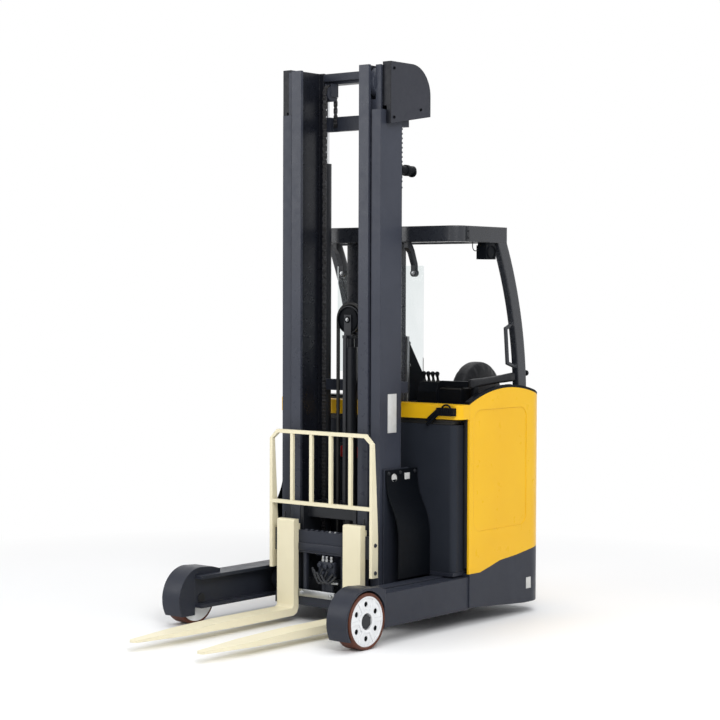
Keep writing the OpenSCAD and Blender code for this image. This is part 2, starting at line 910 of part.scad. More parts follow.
module work_lamp() {
  x = guard_x - 28;
  y0 = guard_rear - 190;
  lens_r = 32;
  color(paint_black) {
    block([x - 40, y0, guard_z0 - 90], [x + 24, y0 + 90, guard_z0 - 14]);
    block([x - 12, y0 + 20, guard_z0 - 14], [x + 12, y0 + 70, guard_z0]);
    shaft_along_x(x + 24, x + 27, y0 + 45, guard_z0 - 52, lens_r);
  }
}

module reach_barrel() {
  bottom = 20;
  color(paint_black) difference() {
    shaft_along_y(reach_barrel_y0, reach_rod_y1 + 10 + bottom, reach_x, reach_z, reach_barrel_r);
    shaft_along_y(reach_barrel_y0 - 1, reach_rod_y1 + 10, reach_x, reach_z, reach_rod_r + shaft_gap);
  }
}

// Reach carriage and outer mast

module reach_carriage() {
  foot_y0 = inner_y0 + 105;
  foot_y1 = battery_y + 82;
  foot_z0 = 110;
  foot_z1 = 245;
  foot_x1 = leg_x0 - move_gap;
  cheek_t = 12;
  color(paint_dark) {
    pair() {
      block([outer_x1, inner_y0 + 35, foot_z0], [outer_x1 + cheek_t, inner_y0 + 245, 845]);
      block([outer_x1 + cheek_t, foot_y0, foot_z0], [foot_x1, foot_y1, foot_z1]);
      for (y = reach_roller_y) {
        shaft_along_x(foot_x1, reach_roller_x1, y, reach_roller_z, 20);
        shaft_along_x(reach_roller_x0, reach_roller_x1, y, reach_roller_z, reach_roller_r);
      }
    }
    block([-outer_x1 - cheek_t, tie_y0, foot_z0], [outer_x1 + cheek_t, tie_y1 + 60, lift_foot]);
  }
}

// Flared side shields, from the mast cheeks out to the legs
module reach_shields() {
  x0 = outer_x1 + 12;
  x1 = leg_x0 - 10;
  t = 8;
  rise = 340;
  z_mid = 650;
  run = x1 - t - x0;
  r = (run * run + rise * rise) / (4 * run);
  a = acos(1 - run / (2 * r));
  n = 8;
  lower = [for (i = [0 : n]) [x0 + run - r + r * cos(a * i / n), z_mid - rise / 2 + r * sin(a * i / n)]];
  upper = [for (i = [n : -1 : 0]) [x0 + r - r * cos(a * i / n), z_mid + rise / 2 - r * sin(a * i / n)]];
  line = concat([[x0 + run, rail_z1 + 8]], lower, upper, [[x0, 840]]);
  back = [for (i = [len(line) - 1 : -1 : 0]) line[i] + [t, 0]];
  color(paint_black) pair() along_y(inner_y0 + 45, battery_y - 12) polygon(concat(line, back));
}

module reach_rod() {
  color(steel) shaft_along_y(tie_y1 + 60, reach_rod_y1, reach_x, reach_z, reach_rod_r);
}

module outer_mast() {
  color(paint_dark) pair() {
    upright(outer_x0, outer_x1, outer_x1 - outer_web, outer_x1, outer_y0, outer_y1, flange_t, outer_z0, outer_top);
    shaft_along_x(middle_web_x1 + move_gap, outer_x1 - outer_web, mast_y, outer_top - 80, middle_roller_r);
  }
}

module outer_ties() {
  beams = [[outer_top - 80, outer_top - 2], [1240, 1300]];
  color(paint_dark) {
    difference() {
      for (b = beams) {
        block([-outer_x1, tie_y0, b[0]], [outer_x1, tie_y1, b[1]]);
        pair() block([outer_x0 + 5, outer_y1, b[0]], [outer_x1, tie_y0, b[1]]);
      }
      pair() translate([lift_x, lift_y, 0]) cylinder(h = 3000, r = lift_r + run_gap);
      pair() block([chain_x - chain_w, tie_y0 - 1, outer_top - 100],
                   [chain_x + chain_w, chain_y + chain_sheave_r + chain_t + 8, outer_top]);
    }
    block([-outer_x1, outer_y0, outer_z0 - 12], [outer_x1, inner_y1, outer_z0]);
  }
}

module lift_barrels() {
  color(paint_black) pair() translate([lift_x, lift_y, lift_foot]) difference() {
    cylinder(h = lift_barrel_top - lift_foot, r = lift_r);
    translate([0, 0, 30]) cylinder(h = lift_barrel_top, r = lift_rod_r + shaft_gap);
  }
}

// Lamp on a bracket behind the near upright
module mast_lamp() {
  z = outer_top - 306;
  lamp_r = 26;
  color(paint_black) {
    block([outer_x1 - 50, outer_y1, z - 45], [outer_x1 - 4, outer_y1 + 10, z + 28]);
    shaft_along_y(outer_y1 + 10, outer_y1 + 130, outer_x1 - 27, z, lamp_r);
    shaft_along_y(outer_y1 + 60, outer_y1 + 84, outer_x1 - 27, z, lamp_r + 4);
  }
}

// Middle mast

module middle_mast() {
  notch_h = 180;
  color(paint_dark) pair() {
    difference() {
      upright(middle_x0, middle_x1, middle_web_x0, middle_web_x1, middle_y0, middle_y1, middle_flange_t,
              middle_z0, mast_top);
      block([middle_web_x1, middle_y0 - 1, middle_z0 - 1], [middle_x1 + 1, middle_y1 + 1, middle_z0 + notch_h]);
      block([middle_x0 - 1, middle_y0 - 1, mast_top - notch_h], [middle_web_x0, middle_y1 + 1, mast_top + 1]);
    }
    shaft_along_x(middle_web_x1, middle_x1 - 2, mast_y, middle_z0 + 90, outer_roller_r);
    shaft_along_x(inner_web_x1 + move_gap, middle_web_x0, mast_y, mast_top - 90, inner_roller_r);
  }
}

// Head of the middle mast with the two chain sheaves
module middle_head() {
  color(paint_dark) {
    pair() {
      block([middle_x1 - 32, middle_y1, head_z0], [middle_x1, head_y1, head_beam_z0]);
      for (dx = [-chain_w / 2 - 10, chain_w / 2 + 4]) {
        block([chain_x + dx, chain_y - 16, chain_z - 16], [chain_x + dx + 6, tie_y0 + 10, head_beam_z0]);
      }
      shaft_along_x(chain_x - chain_w / 2 - 4, chain_x + chain_w / 2 + 4, chain_y, chain_z, chain_sheave_r);
    }
    block([-middle_x1, tie_y0, head_beam_z0], [middle_x1, head_y1, mast_top]);
  }
}

module lift_rods() {
  color(steel) pair() translate([lift_x, lift_y, lift_foot + 100])
    cylinder(h = head_beam_z0 - lift_foot - 100, r = lift_rod_r);
}

// Round-backed covers beside the mast head
module mast_covers() {
  z0 = outer_top - 73;
  y0 = outer_y0 + 40;
  y1 = y0 + 345;
  x0 = outer_x1 + 7;
  z1 = mast_top + 15;
  color(paint_black) pair() {
    along_x(x0, x0 + 27) difference() {
      cover_outline(y0, y1, z0, z1, 160);
      polygon([[y0 - 1, z0 - 1], [y1 + 1, z0 - 1], [y1 + 1, z0 + 56]]);
    }
    block([middle_x1, y0, head_z0], [x0, tie_y1, z1]);
  }
}

module cover_outline(y0, y1, z0, z1, r) {
  translate([y0, z0]) square([y1 - r - y0, z1 - z0]);
  translate([y0, z0]) square([y1 - y0, z1 - r - z0]);
  intersection() {
    translate([y1 - r, z1 - r]) circle(r = r);
    translate([y0, z0]) square([y1 - y0, z1 - z0]);
  }
}

// Lift chains over the sheaves, plain bands with round tops
module lift_chains() {
  r0 = chain_sheave_r;
  r1 = chain_sheave_r + chain_t;
  color(paint_black) pair() {
    along_x(chain_x - chain_w / 2, chain_x + chain_w / 2) {
      intersection() {
        translate([chain_y, chain_z]) difference() {
          circle(r = r1);
          circle(r = r0);
        }
        translate([chain_y - 100, chain_z]) square([200, 100]);
      }
      translate([chain_y - r1, 320]) square([chain_t, chain_z - 320]);
      translate([chain_y + r0, outer_top - 60]) square([chain_t, chain_z - outer_top + 60]);
    }
  }
}

// Inner mast

module inner_mast() {
  color(paint_dark) pair() {
    upright(inner_x0, inner_x1, inner_web_x0, inner_web_x1, inner_y0, inner_y1, flange_t, inner_z0, mast_top);
    shaft_along_x(inner_web_x1, middle_web_x0 - move_gap, mast_y, inner_z0 + 80, middle_roller_r);
  }
}

module inner_ties() {
  y1 = inner_y1 - 1;
  y0 = y1 - 14;
  color(paint_dark) {
    for (z = [[mast_top - 45, mast_top - 5], [560, 640], [inner_z0 + 5, 330]]) {
      block([-inner_x0, y0, z[0]], [inner_x0, y1, z[1]]);
    }
    block([free_x - 50, free_y - free_r, inner_z0 + 5], [free_x + 50, y0, inner_z0 + 40]);
  }
}

module free_lift_barrel() {
  z0 = inner_z0 + 40;
  top = sheave_z - 148;
  color(paint_black) translate([free_x, free_y, z0]) difference() {
    cylinder(h = top - z0, r = free_r);
    translate([0, 0, 30]) cylinder(h = top, r = free_rod_r + shaft_gap);
  }
}

// Free-lift rod, yoke and sheave
module crosshead() {
  color(steel) {
    translate([free_x, free_y, free_rod_z]) cylinder(h = sheave_z - sheave_r - 20 - free_rod_z, r = free_rod_r);
    block([free_x - 34, free_y - 26, sheave_z - sheave_r - 20], [free_x + 34, free_y + 26, sheave_z - sheave_r - 4]);
    for (y = [free_y - 26, free_y + 18]) {
      block([free_x - 24, y, sheave_z - sheave_r - 10], [free_x + 24, y + 8, sheave_z + 26]);
    }
    shaft_along_y(free_y - 18, free_y + 18, free_x, sheave_z, sheave_r - hose_r / 2);
    block([free_x - 10, free_y - 52, 640], [free_x + 10, free_y - 42, sheave_z - sheave_r - 4]);
    block([free_x - 14, free_y - 52, sheave_z - sheave_r - 20], [free_x + 14, free_y - 26, sheave_z - sheave_r - 4]);
  }
}

// Hose loop over the crosshead sheave
module mast_hoses() {
  loop_r = sheave_r + hose_r / 2;
  color(paint_black) translate([free_x, free_y, sheave_z]) {
    rotate([90, 0, 0]) rotate_extrude(angle = 180) translate([loop_r, 0]) circle(r = hose_r, $fn = 24);
    translate([-loop_r, 0, -1180]) cylinder(h = 1180, r = hose_r, $fn = 24);
    translate([loop_r, 0, -1300]) cylinder(h = 1300, r = hose_r, $fn = 24);
  }
}

// Fork carriage

module lift_carriage() {
  roller_x0 = inner_x0 + 3;
  roller_x1 = inner_web_x0 - move_gap;
  color(paint_dark) {
    pair() {
      block([side_plate_x0, inner_y0 - 3, carriage_z0], [side_plate_x1, mast_y + 60, carriage_z1]);
      for (z = [carriage_z0 + 90, carriage_z1 - 90]) {
        shaft_along_x(side_plate_x1, roller_x0, mast_y, z, 25);
        shaft_along_x(roller_x0, roller_x1, mast_y, z, inner_roller_r);
      }
    }
    block([-side_plate_x0, shaft_y + 15, 560], [side_plate_x0, shaft_y + 50, 630]);
    block([-side_plate_x0, shaft_y + 10, 130], [side_plate_x0, shaft_y + 50, 230]);
    shaft_along_x(-side_plate_x0, side_plate_x0, shaft_y, shaft_z, shaft_r);
    shaft_along_y(shaft_y - 18, shaft_y + 10, 0, 190, 24);
    shaft_along_y(shaft_y - 30, shaft_y - 18, 0, 190, 12);
  }
}

// Sleeve that shifts along the cross shaft
module shift_sleeve() {
  half = lug_x[1] + 15;
  color(steel) difference() {
    union() {
      shaft_along_x(-half, half, shaft_y, shaft_z, sleeve_r);
      pair() shaft_along_x(lug_x[1] + run_gap, half, shaft_y, shaft_z, sleeve_r + 8);
    }
    shaft_along_x(-half - 1, half + 1, shaft_y, shaft_z, shaft_r + shaft_gap);
  }
}

module fork_frame() {
  color(paint_dark) {
    block([-bar_x, shank_y1, 376], [bar_x, bar_y1 - 8, 496]);
    block([-bar_x + 20, bar_y1 - 8, 441], [bar_x - 20, bar_y1, 496]);
    block([-bar_x + 20, bar_y1 - 8, 376], [bar_x - 20, bar_y1, 431]);
    block([-bar_x, shank_y1, 90], [bar_x, bar_y1 - 2, 150]);
    for (x = [-140, 120, -10]) {
      block([x, shank_y1 + 6, 150], [x + 20, bar_y1 - 2, 376]);
    }
    for (s = [-1, 1]) {
      along_x(min(s * lug_x[0], s * lug_x[1]), max(s * lug_x[0], s * lug_x[1])) difference() {
        union() {
          translate([shaft_y, shaft_z]) circle(r = sleeve_r + 14);
          translate([bar_y1 - 9, shaft_z - 24]) square([shaft_y - bar_y1 + 9, 48]);
        }
        translate([shaft_y, shaft_z]) circle(r = sleeve_r + shaft_gap);
      }
    }
  }
}

module load_backrest() {
  z0 = 283;
  low = 634;
  bar_h = 20;
  chamfer = 50;
  bar_w = 20;
  bar_step = 2 * bar_x / (rest_bars + 1);
  neck = rest_plate_t * tan(22.5);
  color(paint_cream) {
    pair() along_x(bar_x, rest_x1) polygon([
      [rest_y0, z0], [bar_y1 - 4, z0], [bar_y1 - 4, 500], [rest_y1, rest_top - chamfer], [rest_y0, rest_top - chamfer]
    ]);
    along_y(rest_y0, rest_y1) difference() {
      polygon([[-rest_x1, rest_top - chamfer], [-rest_x1 + chamfer, rest_top], [rest_x1 - chamfer, rest_top],
               [rest_x1, rest_top - chamfer]]);
      polygon([[-bar_x, rest_top - chamfer - neck], [-bar_x, rest_top - chamfer + neck - bar_h / 2],
               [-rest_x1 + chamfer + neck, rest_top - bar_h], [rest_x1 - chamfer - neck, rest_top - bar_h],
               [bar_x, rest_top - chamfer + neck - bar_h / 2], [bar_x, rest_top - chamfer - neck]]);
    }
    block([-bar_x, rest_y0, low], [bar_x, rest_y1, low + bar_h]);
    for (i = [1 : rest_bars]) {
      x = -bar_x + i * bar_step;
      block([x - bar_w / 2, rest_y0 + 2, low + bar_h], [x + bar_w / 2, rest_y1 - 2, rest_top - bar_h]);
    }
  }
}

// One fork: a shank with a hook over the upper bar, and a blade that thins towards its tip
module fork(x) {
  tip_y = -tip_reach;
  heel_r = 40;
  taper_l = 330;
  tip_w = 52;
  side = [
    [shank_y1, fork_z0 + heel_r], [shank_y1 - 0.3 * heel_r, fork_z0 + 0.3 * heel_r], [shank_y1 - heel_r, fork_z0],
    [fork_y - 0.4 * fork_len, fork_z0], [tip_y, 46], [tip_y, 57], [fork_y - 0.45 * fork_len, fork_z0 + fork_t],
    [fork_y - 18, fork_z0 + fork_t], [fork_y - 5, fork_z0 + fork_t + 5], [fork_y, fork_z0 + fork_t + 18],
    [fork_y, fork_top - 8], [fork_y + 8, fork_top], [shank_y1, fork_top]
  ];
  plan = [
    [x - fork_w / 2, shank_y1], [x + fork_w / 2, shank_y1], [x + fork_w / 2, tip_y + taper_l],
    [x + tip_w / 2, tip_y + 14], [x + tip_w / 2 - 14, tip_y], [x - tip_w / 2 + 14, tip_y],
    [x - tip_w / 2, tip_y + 14], [x - fork_w / 2, tip_y + taper_l]
  ];
  color(paint_cream) {
    intersection() {
      along_x(x - fork_w, x + fork_w) polygon(side);
      linear_extrude(700) polygon(plan);
    }
    block([x - fork_w / 2 + 5, shank_y1, 496], [x + fork_w / 2 - 5, shank_y1 + 18, 528]);
  }
}

module fork_left() {
  fork(fork_pitch / 2);
}

module fork_right() {
  fork(-fork_pitch / 2);
}

// Drive unit

// Turret with its motor above the deck and its gear leg beside the wheel
module drive_unit() {
  leg_x = drive_w / 2 + 8;
  axle_z = drive_d / 2;
  color(paint_dark) translate([drive_x, drive_y, 0]) {
    translate([0, 0, deck_z0 - 20]) cylinder(h = deck_z1 - deck_z0 + 20 + run_gap, r = turret_r);
    translate([0, 0, deck_z1 + run_gap]) cylinder(h = 20, r = turret_r + turret_lip);
    translate([0, 0, deck_z1 + 20]) cylinder(h = 310, r = 105);
    block([leg_x, -90, 70], [leg_x + 55, 90, deck_z0 - 20]);
    shaft_along_x(-drive_w / 2 + 10, leg_x, 0, axle_z, 30);
  }
}

module drive_hub() {
  rim_r = drive_d / 2 - 40;
  color("white") translate([drive_x, drive_y, drive_d / 2]) difference() {
    shaft_along_x(-drive_w / 2 + 2, drive_w / 2 - 2, 0, 0, rim_r - 0.02);
    shaft_along_x(-drive_w / 2 + 6, drive_w / 2, 0, 0, 30 + shaft_gap);
  }
}

module drive_tyre() {
  rim_r = drive_d / 2 - 40;
  edge = 8;
  color(rubber) translate([drive_x - drive_w / 2, drive_y, drive_d / 2]) rotate([0, 90, 0]) rotate_extrude() polygon([
    [rim_r, 0], [drive_d / 2 - edge, 0], [drive_d / 2, edge],
    [drive_d / 2, drive_w - edge], [drive_d / 2 - edge, drive_w], [rim_r, drive_w]
  ]);
}

place() leg_left();
place() leg_right();
place() wheel_guard_left();
place() wheel_guard_right();
place() load_axles();
place() chassis_skirt();
place() chassis_base();
place() battery();
place() battery_plug();
place() side_panel();
place() rear_panel();
place() battery_cover();
place() cowl();
place() top_trim();
place() footwell();
place() seat_pedestal();
place() seat_cushion();
place() seat_back();
place() hip_rail();
place() dash_console();
place() steering_wheel();
place() guard_roof();
place() guard_pillars();
place() screen();
place() screen_posts();
place() screen_arms();
place() work_lamp();
place() reach_barrel();
place() reach_carriage();
place() reach_shields();
place() reach_rod();
place() outer_mast();
place() outer_ties();
place() lift_barrels();
place() mast_lamp();
place() middle_mast();
place() middle_head();
place() lift_rods();
place() mast_covers();
place() lift_chains();
place() inner_mast();
place() inner_ties();
place() free_lift_barrel();
place() crosshead();
place() mast_hoses();
place() lift_carriage();
place() shift_sleeve();
place() fork_frame();
place() load_backrest();
place() fork_left();
place() fork_right();
place() drive_unit();
place() drive_hub();
place() drive_tyre();
place() load_hub_left();
place() load_tyre_left();
place() load_hub_right();
place() load_tyre_right();
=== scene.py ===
"""Looks of a side-seated reach truck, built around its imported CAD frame."""

import json
import logging
import math
from dataclasses import dataclass, field
from enum import Enum
from typing import Callable, Sequence

import bpy
from mathutils import Matrix, Vector

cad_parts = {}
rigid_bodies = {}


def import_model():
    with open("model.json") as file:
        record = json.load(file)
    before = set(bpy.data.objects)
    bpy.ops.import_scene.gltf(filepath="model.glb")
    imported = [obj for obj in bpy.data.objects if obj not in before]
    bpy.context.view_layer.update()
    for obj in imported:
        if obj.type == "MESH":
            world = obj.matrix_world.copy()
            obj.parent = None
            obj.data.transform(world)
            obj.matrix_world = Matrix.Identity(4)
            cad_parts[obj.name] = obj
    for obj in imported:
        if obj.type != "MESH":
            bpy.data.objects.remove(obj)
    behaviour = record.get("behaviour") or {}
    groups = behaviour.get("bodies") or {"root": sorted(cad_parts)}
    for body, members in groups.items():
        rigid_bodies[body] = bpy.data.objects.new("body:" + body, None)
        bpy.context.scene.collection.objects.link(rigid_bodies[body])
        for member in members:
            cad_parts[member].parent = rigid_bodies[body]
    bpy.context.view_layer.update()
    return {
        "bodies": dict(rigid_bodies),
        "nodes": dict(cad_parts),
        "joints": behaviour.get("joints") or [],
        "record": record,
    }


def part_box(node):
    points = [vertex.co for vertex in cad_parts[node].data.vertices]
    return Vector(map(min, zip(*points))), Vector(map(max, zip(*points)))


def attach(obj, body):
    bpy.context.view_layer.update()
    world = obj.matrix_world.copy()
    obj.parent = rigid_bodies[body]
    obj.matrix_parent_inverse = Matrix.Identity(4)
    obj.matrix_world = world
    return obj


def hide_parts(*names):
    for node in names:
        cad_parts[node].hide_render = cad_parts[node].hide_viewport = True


LOG = logging.getLogger("reach_truck")

Colour = tuple[float, float, float]
Point = tuple[float, float, float]
Span = tuple[float, float]
Piece = bpy.types.Object
Node = bpy.types.Node

LEFT: Point = (1.0, 0.0, 0.0)
BACK: Point = (0.0, 1.0, 0.0)
AHEAD: Point = (0.0, -1.0, 0.0)
UP: Point = (0.0, 0.0, 1.0)


class Grain(Enum):
    """How a surface is textured up close."""

    ORANGE_PEEL = "orange peel of sprayed gloss paint"
    POWDER = "fine speckle of powder coat"
    PEBBLE = "pebbled grain of moulded plastic"
    BRUSHED = "long fine streaks of worked steel"
    HIDE = "creased cells of vinyl hide"
    CAST = "soft lumps of cast polyurethane and rubber"


@dataclass(frozen=True)
class GrainShape:
    """Size and height of a grain's bumps.

    Attributes:
        scale: Cells or waves per metre along X, Y and Z.
        height: Height of the bumps in metres.
        strength: Share of the bump that shows.
        cells: Whether the grain is made of cells rather than waves.
    """

    scale: Point
    height: float
    strength: float
    cells: bool = False


GRAIN_SHAPES: dict[Grain, GrainShape] = {
    Grain.ORANGE_PEEL: GrainShape((260.0, 260.0, 260.0), 0.0004, 0.03),
    Grain.POWDER: GrainShape((900.0, 900.0, 900.0), 0.0003, 0.22),
    Grain.PEBBLE: GrainShape((520.0, 520.0, 520.0), 0.0005, 0.30, True),
    Grain.BRUSHED: GrainShape((700.0, 700.0, 9.0), 0.0002, 0.20),
    Grain.HIDE: GrainShape((240.0, 240.0, 240.0), 0.0009, 0.45, True),
    Grain.CAST: GrainShape((150.0, 150.0, 150.0), 0.0005, 0.18),
}


class Nodes:
    """A node tree, with short ways to add and join nodes."""

    def __init__(self, tree: bpy.types.NodeTree) -> None:
        """Start with the tree emptied."""
        self.tree = tree
        tree.nodes.clear()

    def add(self, kind: str, **settings: object) -> Node:
        """Add a node.

        Args:
            kind: Blender's name of the node type.
            **settings: What put() takes.

        Returns:
            The new node.
        """
        return self.put(self.tree.nodes.new(kind), **settings)

    def put(self, node: Node, **settings: object) -> Node:
        """Set a node's properties and inputs.

        Args:
            node: The node.
            **settings: Node properties, or input values where the name starts with "in_".

        Returns:
            The same node.
        """
        for key, value in settings.items():
            if key.startswith("in_"):
                node.inputs[key[3:].replace("_", " ")].default_value = value
            else:
                setattr(node, key, value)
        return node

    def join(self, source: Node, out: str | int, target: Node, into: str | int) -> None:
        """Link one node's output to another's input."""
        self.tree.links.new(source.outputs[out], target.inputs[into])

    def seen(self) -> Node:
        """Whether a ray comes from the camera, a gloss or a clear sheet.

        Returns:
            A node that gives 1 for such a ray.
        """
        path = self.add("ShaderNodeLightPath")
        last, out = path, "Is Camera Ray"
        for ray in ("Is Transmission Ray", "Is Glossy Ray"):
            either = self.add("ShaderNodeMath", operation="MAXIMUM")
            self.join(last, out, either, 0)
            self.join(path, ray, either, 1)
            last, out = either, 0
        return last


class Shader(Nodes):
    """A material's node tree, with textures on Object coordinates."""

    def __init__(self, name: str) -> None:
        """Start a material with an output and a principled shader."""
        self.material = bpy.data.materials.new(name)
        self.material.use_nodes = True
        super().__init__(self.material.node_tree)
        self.output = self.add("ShaderNodeOutputMaterial")
        self.surface = self.add("ShaderNodeBsdfPrincipled")
        self.join(self.surface, "BSDF", self.output, "Surface")

    def coordinates(self, scale: Point) -> Node:
        """Object coordinates, scaled.

        Args:
            scale: Repeats per metre along X, Y and Z.

        Returns:
            The mapping node.
        """
        place = self.add("ShaderNodeTexCoord")
        mapping = self.add("ShaderNodeMapping", in_Scale=scale)
        self.join(place, "Object", mapping, "Vector")
        return mapping

    def noise(self, scale: Point, detail: float) -> Node:
        """A noise texture on Object coordinates.

        Args:
            scale: Waves per metre along X, Y and Z.
            detail: Number of finer layers.

        Returns:
            The noise node.
        """
        node = self.add("ShaderNodeTexNoise", in_Scale=1.0, in_Detail=detail, in_Roughness=0.6)
        self.join(self.coordinates(scale), "Vector", node, "Vector")
        return node

    def span(self, source: Node, out: str, bounds: Span, to: Span) -> Node:
        """Map a value from one span to another, clamped.

        Args:
            source: Node that gives the value.
            out: Its output.
            bounds: Lowest and highest value read.
            to: Values given at the two bounds.

        Returns:
            The map range node.
        """
        node = self.add("ShaderNodeMapRange", clamp=True)
        for socket, value in zip(("From Min", "From Max", "To Min", "To Max"), (*bounds, *to)):
            node.inputs[socket].default_value = value
        self.join(source, out, node, "Value")
        return node

    def blend(self, factor: Node, out: str, first: Colour | Node, second: Colour) -> Node:
        """Mix two colours.

        Args:
            factor: Node that gives the share of the second colour.
            out: Its output.
            first: A colour, or a mix node made by this method.
            second: The other colour.

        Returns:
            The mix node, whose output 2 is the colour.
        """
        node = self.add("ShaderNodeMix", data_type="RGBA")
        self.join(factor, out, node, 0)
        if isinstance(first, Node):
            self.join(first, 2, node, 6)
        else:
            node.inputs[6].default_value = (*first, 1.0)
        node.inputs[7].default_value = (*second, 1.0)
        return node


class Coating:
    """What a surface is made of, built once as a material.

    Attributes:
        name: Name of the material slot that it dresses.
    """

    name: str

    def material(self) -> bpy.types.Material:
        """Build the material, or find it if it is made already.

        Returns:
            The material.
        """
        made = bpy.data.materials.get(f"{self.name}_finish")
        if made:
            return made
        shader = Shader(f"{self.name}_finish")
        self.fill(shader)
        return shader.material

    def fill(self, shader: Shader) -> None:
        """Add the nodes of the look; each kind of coating has its own."""
        raise NotImplementedError


@dataclass(frozen=True)
class Finish(Coating):
    """One finish of the truck, made of shader nodes.

    Attributes:
        name: Name of the material slot that it dresses.
        colour: Main colour, linear.
        shade: Colour of its darker or dustier patches.
        scuff: Colour where edges and patches are worn.
        roughness: Middle roughness.
        grain: Texture up close.
        wear: How much of the edges is worn, 0 to 1.
        metallic: 1 for bare metal.
        coat: Weight of a clear coat.
        rounding: Radius that edges seem rounded by, in metres.
        patch: Size of the colour patches, per metre.
        gloss: Strength of the mirror-like reflection.
    """

    name: str
    colour: Colour
    shade: Colour
    scuff: Colour
    roughness: float
    grain: Grain
    wear: float = 0.0
    metallic: float = 0.0
    coat: float = 0.0
    rounding: float = 0.003
    patch: float = 3.0
    gloss: float = 0.5

    def fill(self, shader: Shader) -> None:
        """Set the shader's values, then join colour and relief to it."""
        shader.put(shader.surface, in_Metallic=self.metallic, in_Coat_Weight=self.coat,
                   in_Coat_Roughness=0.12, in_Specular_IOR_Level=self.gloss)
        self._colour(shader)
        self._relief(shader)

    def _colour(self, shader: Shader) -> None:
        """Join patches, wear and roughness to the shader."""
        patches = shader.noise((self.patch, self.patch, self.patch), 4.0)
        share = shader.span(patches, "Fac", (0.35, 0.75), (0.0, 1.0))
        colour = shader.blend(share, "Result", self.colour, self.shade)
        if self.wear:
            colour = shader.blend(self._worn(shader), "Result", colour, self.scuff)
        shader.join(self._painted_shade(shader, colour), 2, shader.surface, "Base Color")
        fine = shader.noise((self.patch * 9, self.patch * 9, self.patch * 9), 5.0)
        low, high = max(0.04, self.roughness - 0.07), min(1.0, self.roughness + 0.09)
        rough = shader.span(fine, "Fac", (0.3, 0.7), (low, high))
        shader.join(rough, "Result", shader.surface, "Roughness")

    def _painted_shade(self, shader: Shader, colour: Node) -> Node:
        """Painted shade laid over the paint: none on most finishes.

        Args:
            shader: The material's shader.
            colour: Mix node of the paint.

        Returns:
            The mix node to use.
        """
        return colour

    def _worn(self, shader: Shader) -> Node:
        """The share of wear: edges found by a rounded normal, broken up by noise.

        Returns:
            A map range node.
        """
        rounded = shader.add("ShaderNodeBevel", samples=4, in_Radius=self.rounding * 1.6)
        flat = shader.add("ShaderNodeNewGeometry")
        turn = shader.add("ShaderNodeVectorMath", operation="DOT_PRODUCT")
        shader.join(rounded, "Normal", turn, 0)
        shader.join(flat, "Normal", turn, 1)
        edge = shader.span(turn, "Value", (0.98, 0.82), (0.0, 1.0))
        specks = shader.noise((38.0, 38.0, 38.0), 6.0)
        chips = shader.span(specks, "Fac", (0.45, 0.68), (0.0, self.wear))
        worn = shader.add("ShaderNodeMath", operation="MULTIPLY")
        shader.join(edge, "Result", worn, 0)
        shader.join(chips, "Result", worn, 1)
        return shader.span(worn, "Value", (0.0, 1.0), (0.0, 1.0))

    def _relief(self, shader: Shader) -> None:
        """Join rounded edges and the grain's bumps to the shader's normal."""
        shape = GRAIN_SHAPES[self.grain]
        bump = shader.add("ShaderNodeBump", in_Strength=shape.strength, in_Distance=shape.height)
        if shape.cells:
            texture = shader.add("ShaderNodeTexVoronoi", in_Scale=1.0)
            shader.join(shader.coordinates(shape.scale), "Vector", texture, "Vector")
            shader.join(texture, "Distance", bump, "Height")
        else:
            shader.join(shader.noise(shape.scale, 3.0), "Fac", bump, "Height")
        if self.rounding:
            rounded = shader.add("ShaderNodeBevel", samples=4, in_Radius=self.rounding)
            shader.join(rounded, "Normal", bump, "Normal")
        shader.join(bump, "Normal", shader.surface, "Normal")


@dataclass(frozen=True)
class PaintedShadeFinish(Finish):
    """A finish with painted shade beyond a plane across Y, such as the shade inside a roller channel or on a
    cover's front.

    Attributes:
        second: Colour of the painted shade.
        across: Y where the painted shade starts, and where it is full.
        cover: Share of the finish that the painted shade hides.
    """

    # Dark colour of the painted shade.
    second: Colour = (0.0060, 0.0070, 0.0105)
    across: Span = (0.060, 0.063)
    cover: float = 0.92

    def _painted_shade(self, shader: Shader, colour: Node) -> Node:
        """Painted shade over the finish.

        Args:
            shader: The material's shader.
            colour: Mix node of the finish.

        Returns:
            The mix node of both.
        """
        parts = shader.add("ShaderNodeSeparateXYZ")
        shader.join(shader.coordinates((1.0, 1.0, 1.0)), "Vector", parts, 0)
        # Painted shade: darker beyond the plane across Y.
        shade_share = shader.span(parts, "Y", self.across, (0.0, self.cover))
        return shader.blend(shade_share, "Result", colour, self.second)


@dataclass(frozen=True)
class ClearSheet(Coating):
    """A clear sheet with a faint tint and a few fine smears.

    Attributes:
        name: Name of the material slot that it dresses.
        tint: Colour of the light that passes.
        roughness: Roughness of its faces.
    """

    name: str
    tint: Colour
    roughness: float

    def fill(self, shader: Shader) -> None:
        """Let light through, and join the smears to colour and roughness."""
        shader.put(shader.surface, in_Transmission_Weight=1.0, in_IOR=1.1)
        smear = shader.noise((5.0, 5.0, 2.0), 5.0)
        pale = shader.blend(smear, "Fac", self.tint, (0.96, 0.98, 0.99))
        shader.join(pale, 2, shader.surface, "Base Color")
        rough = shader.span(smear, "Fac", (0.4, 0.75), (self.roughness, self.roughness + 0.06))
        shader.join(rough, "Result", shader.surface, "Roughness")


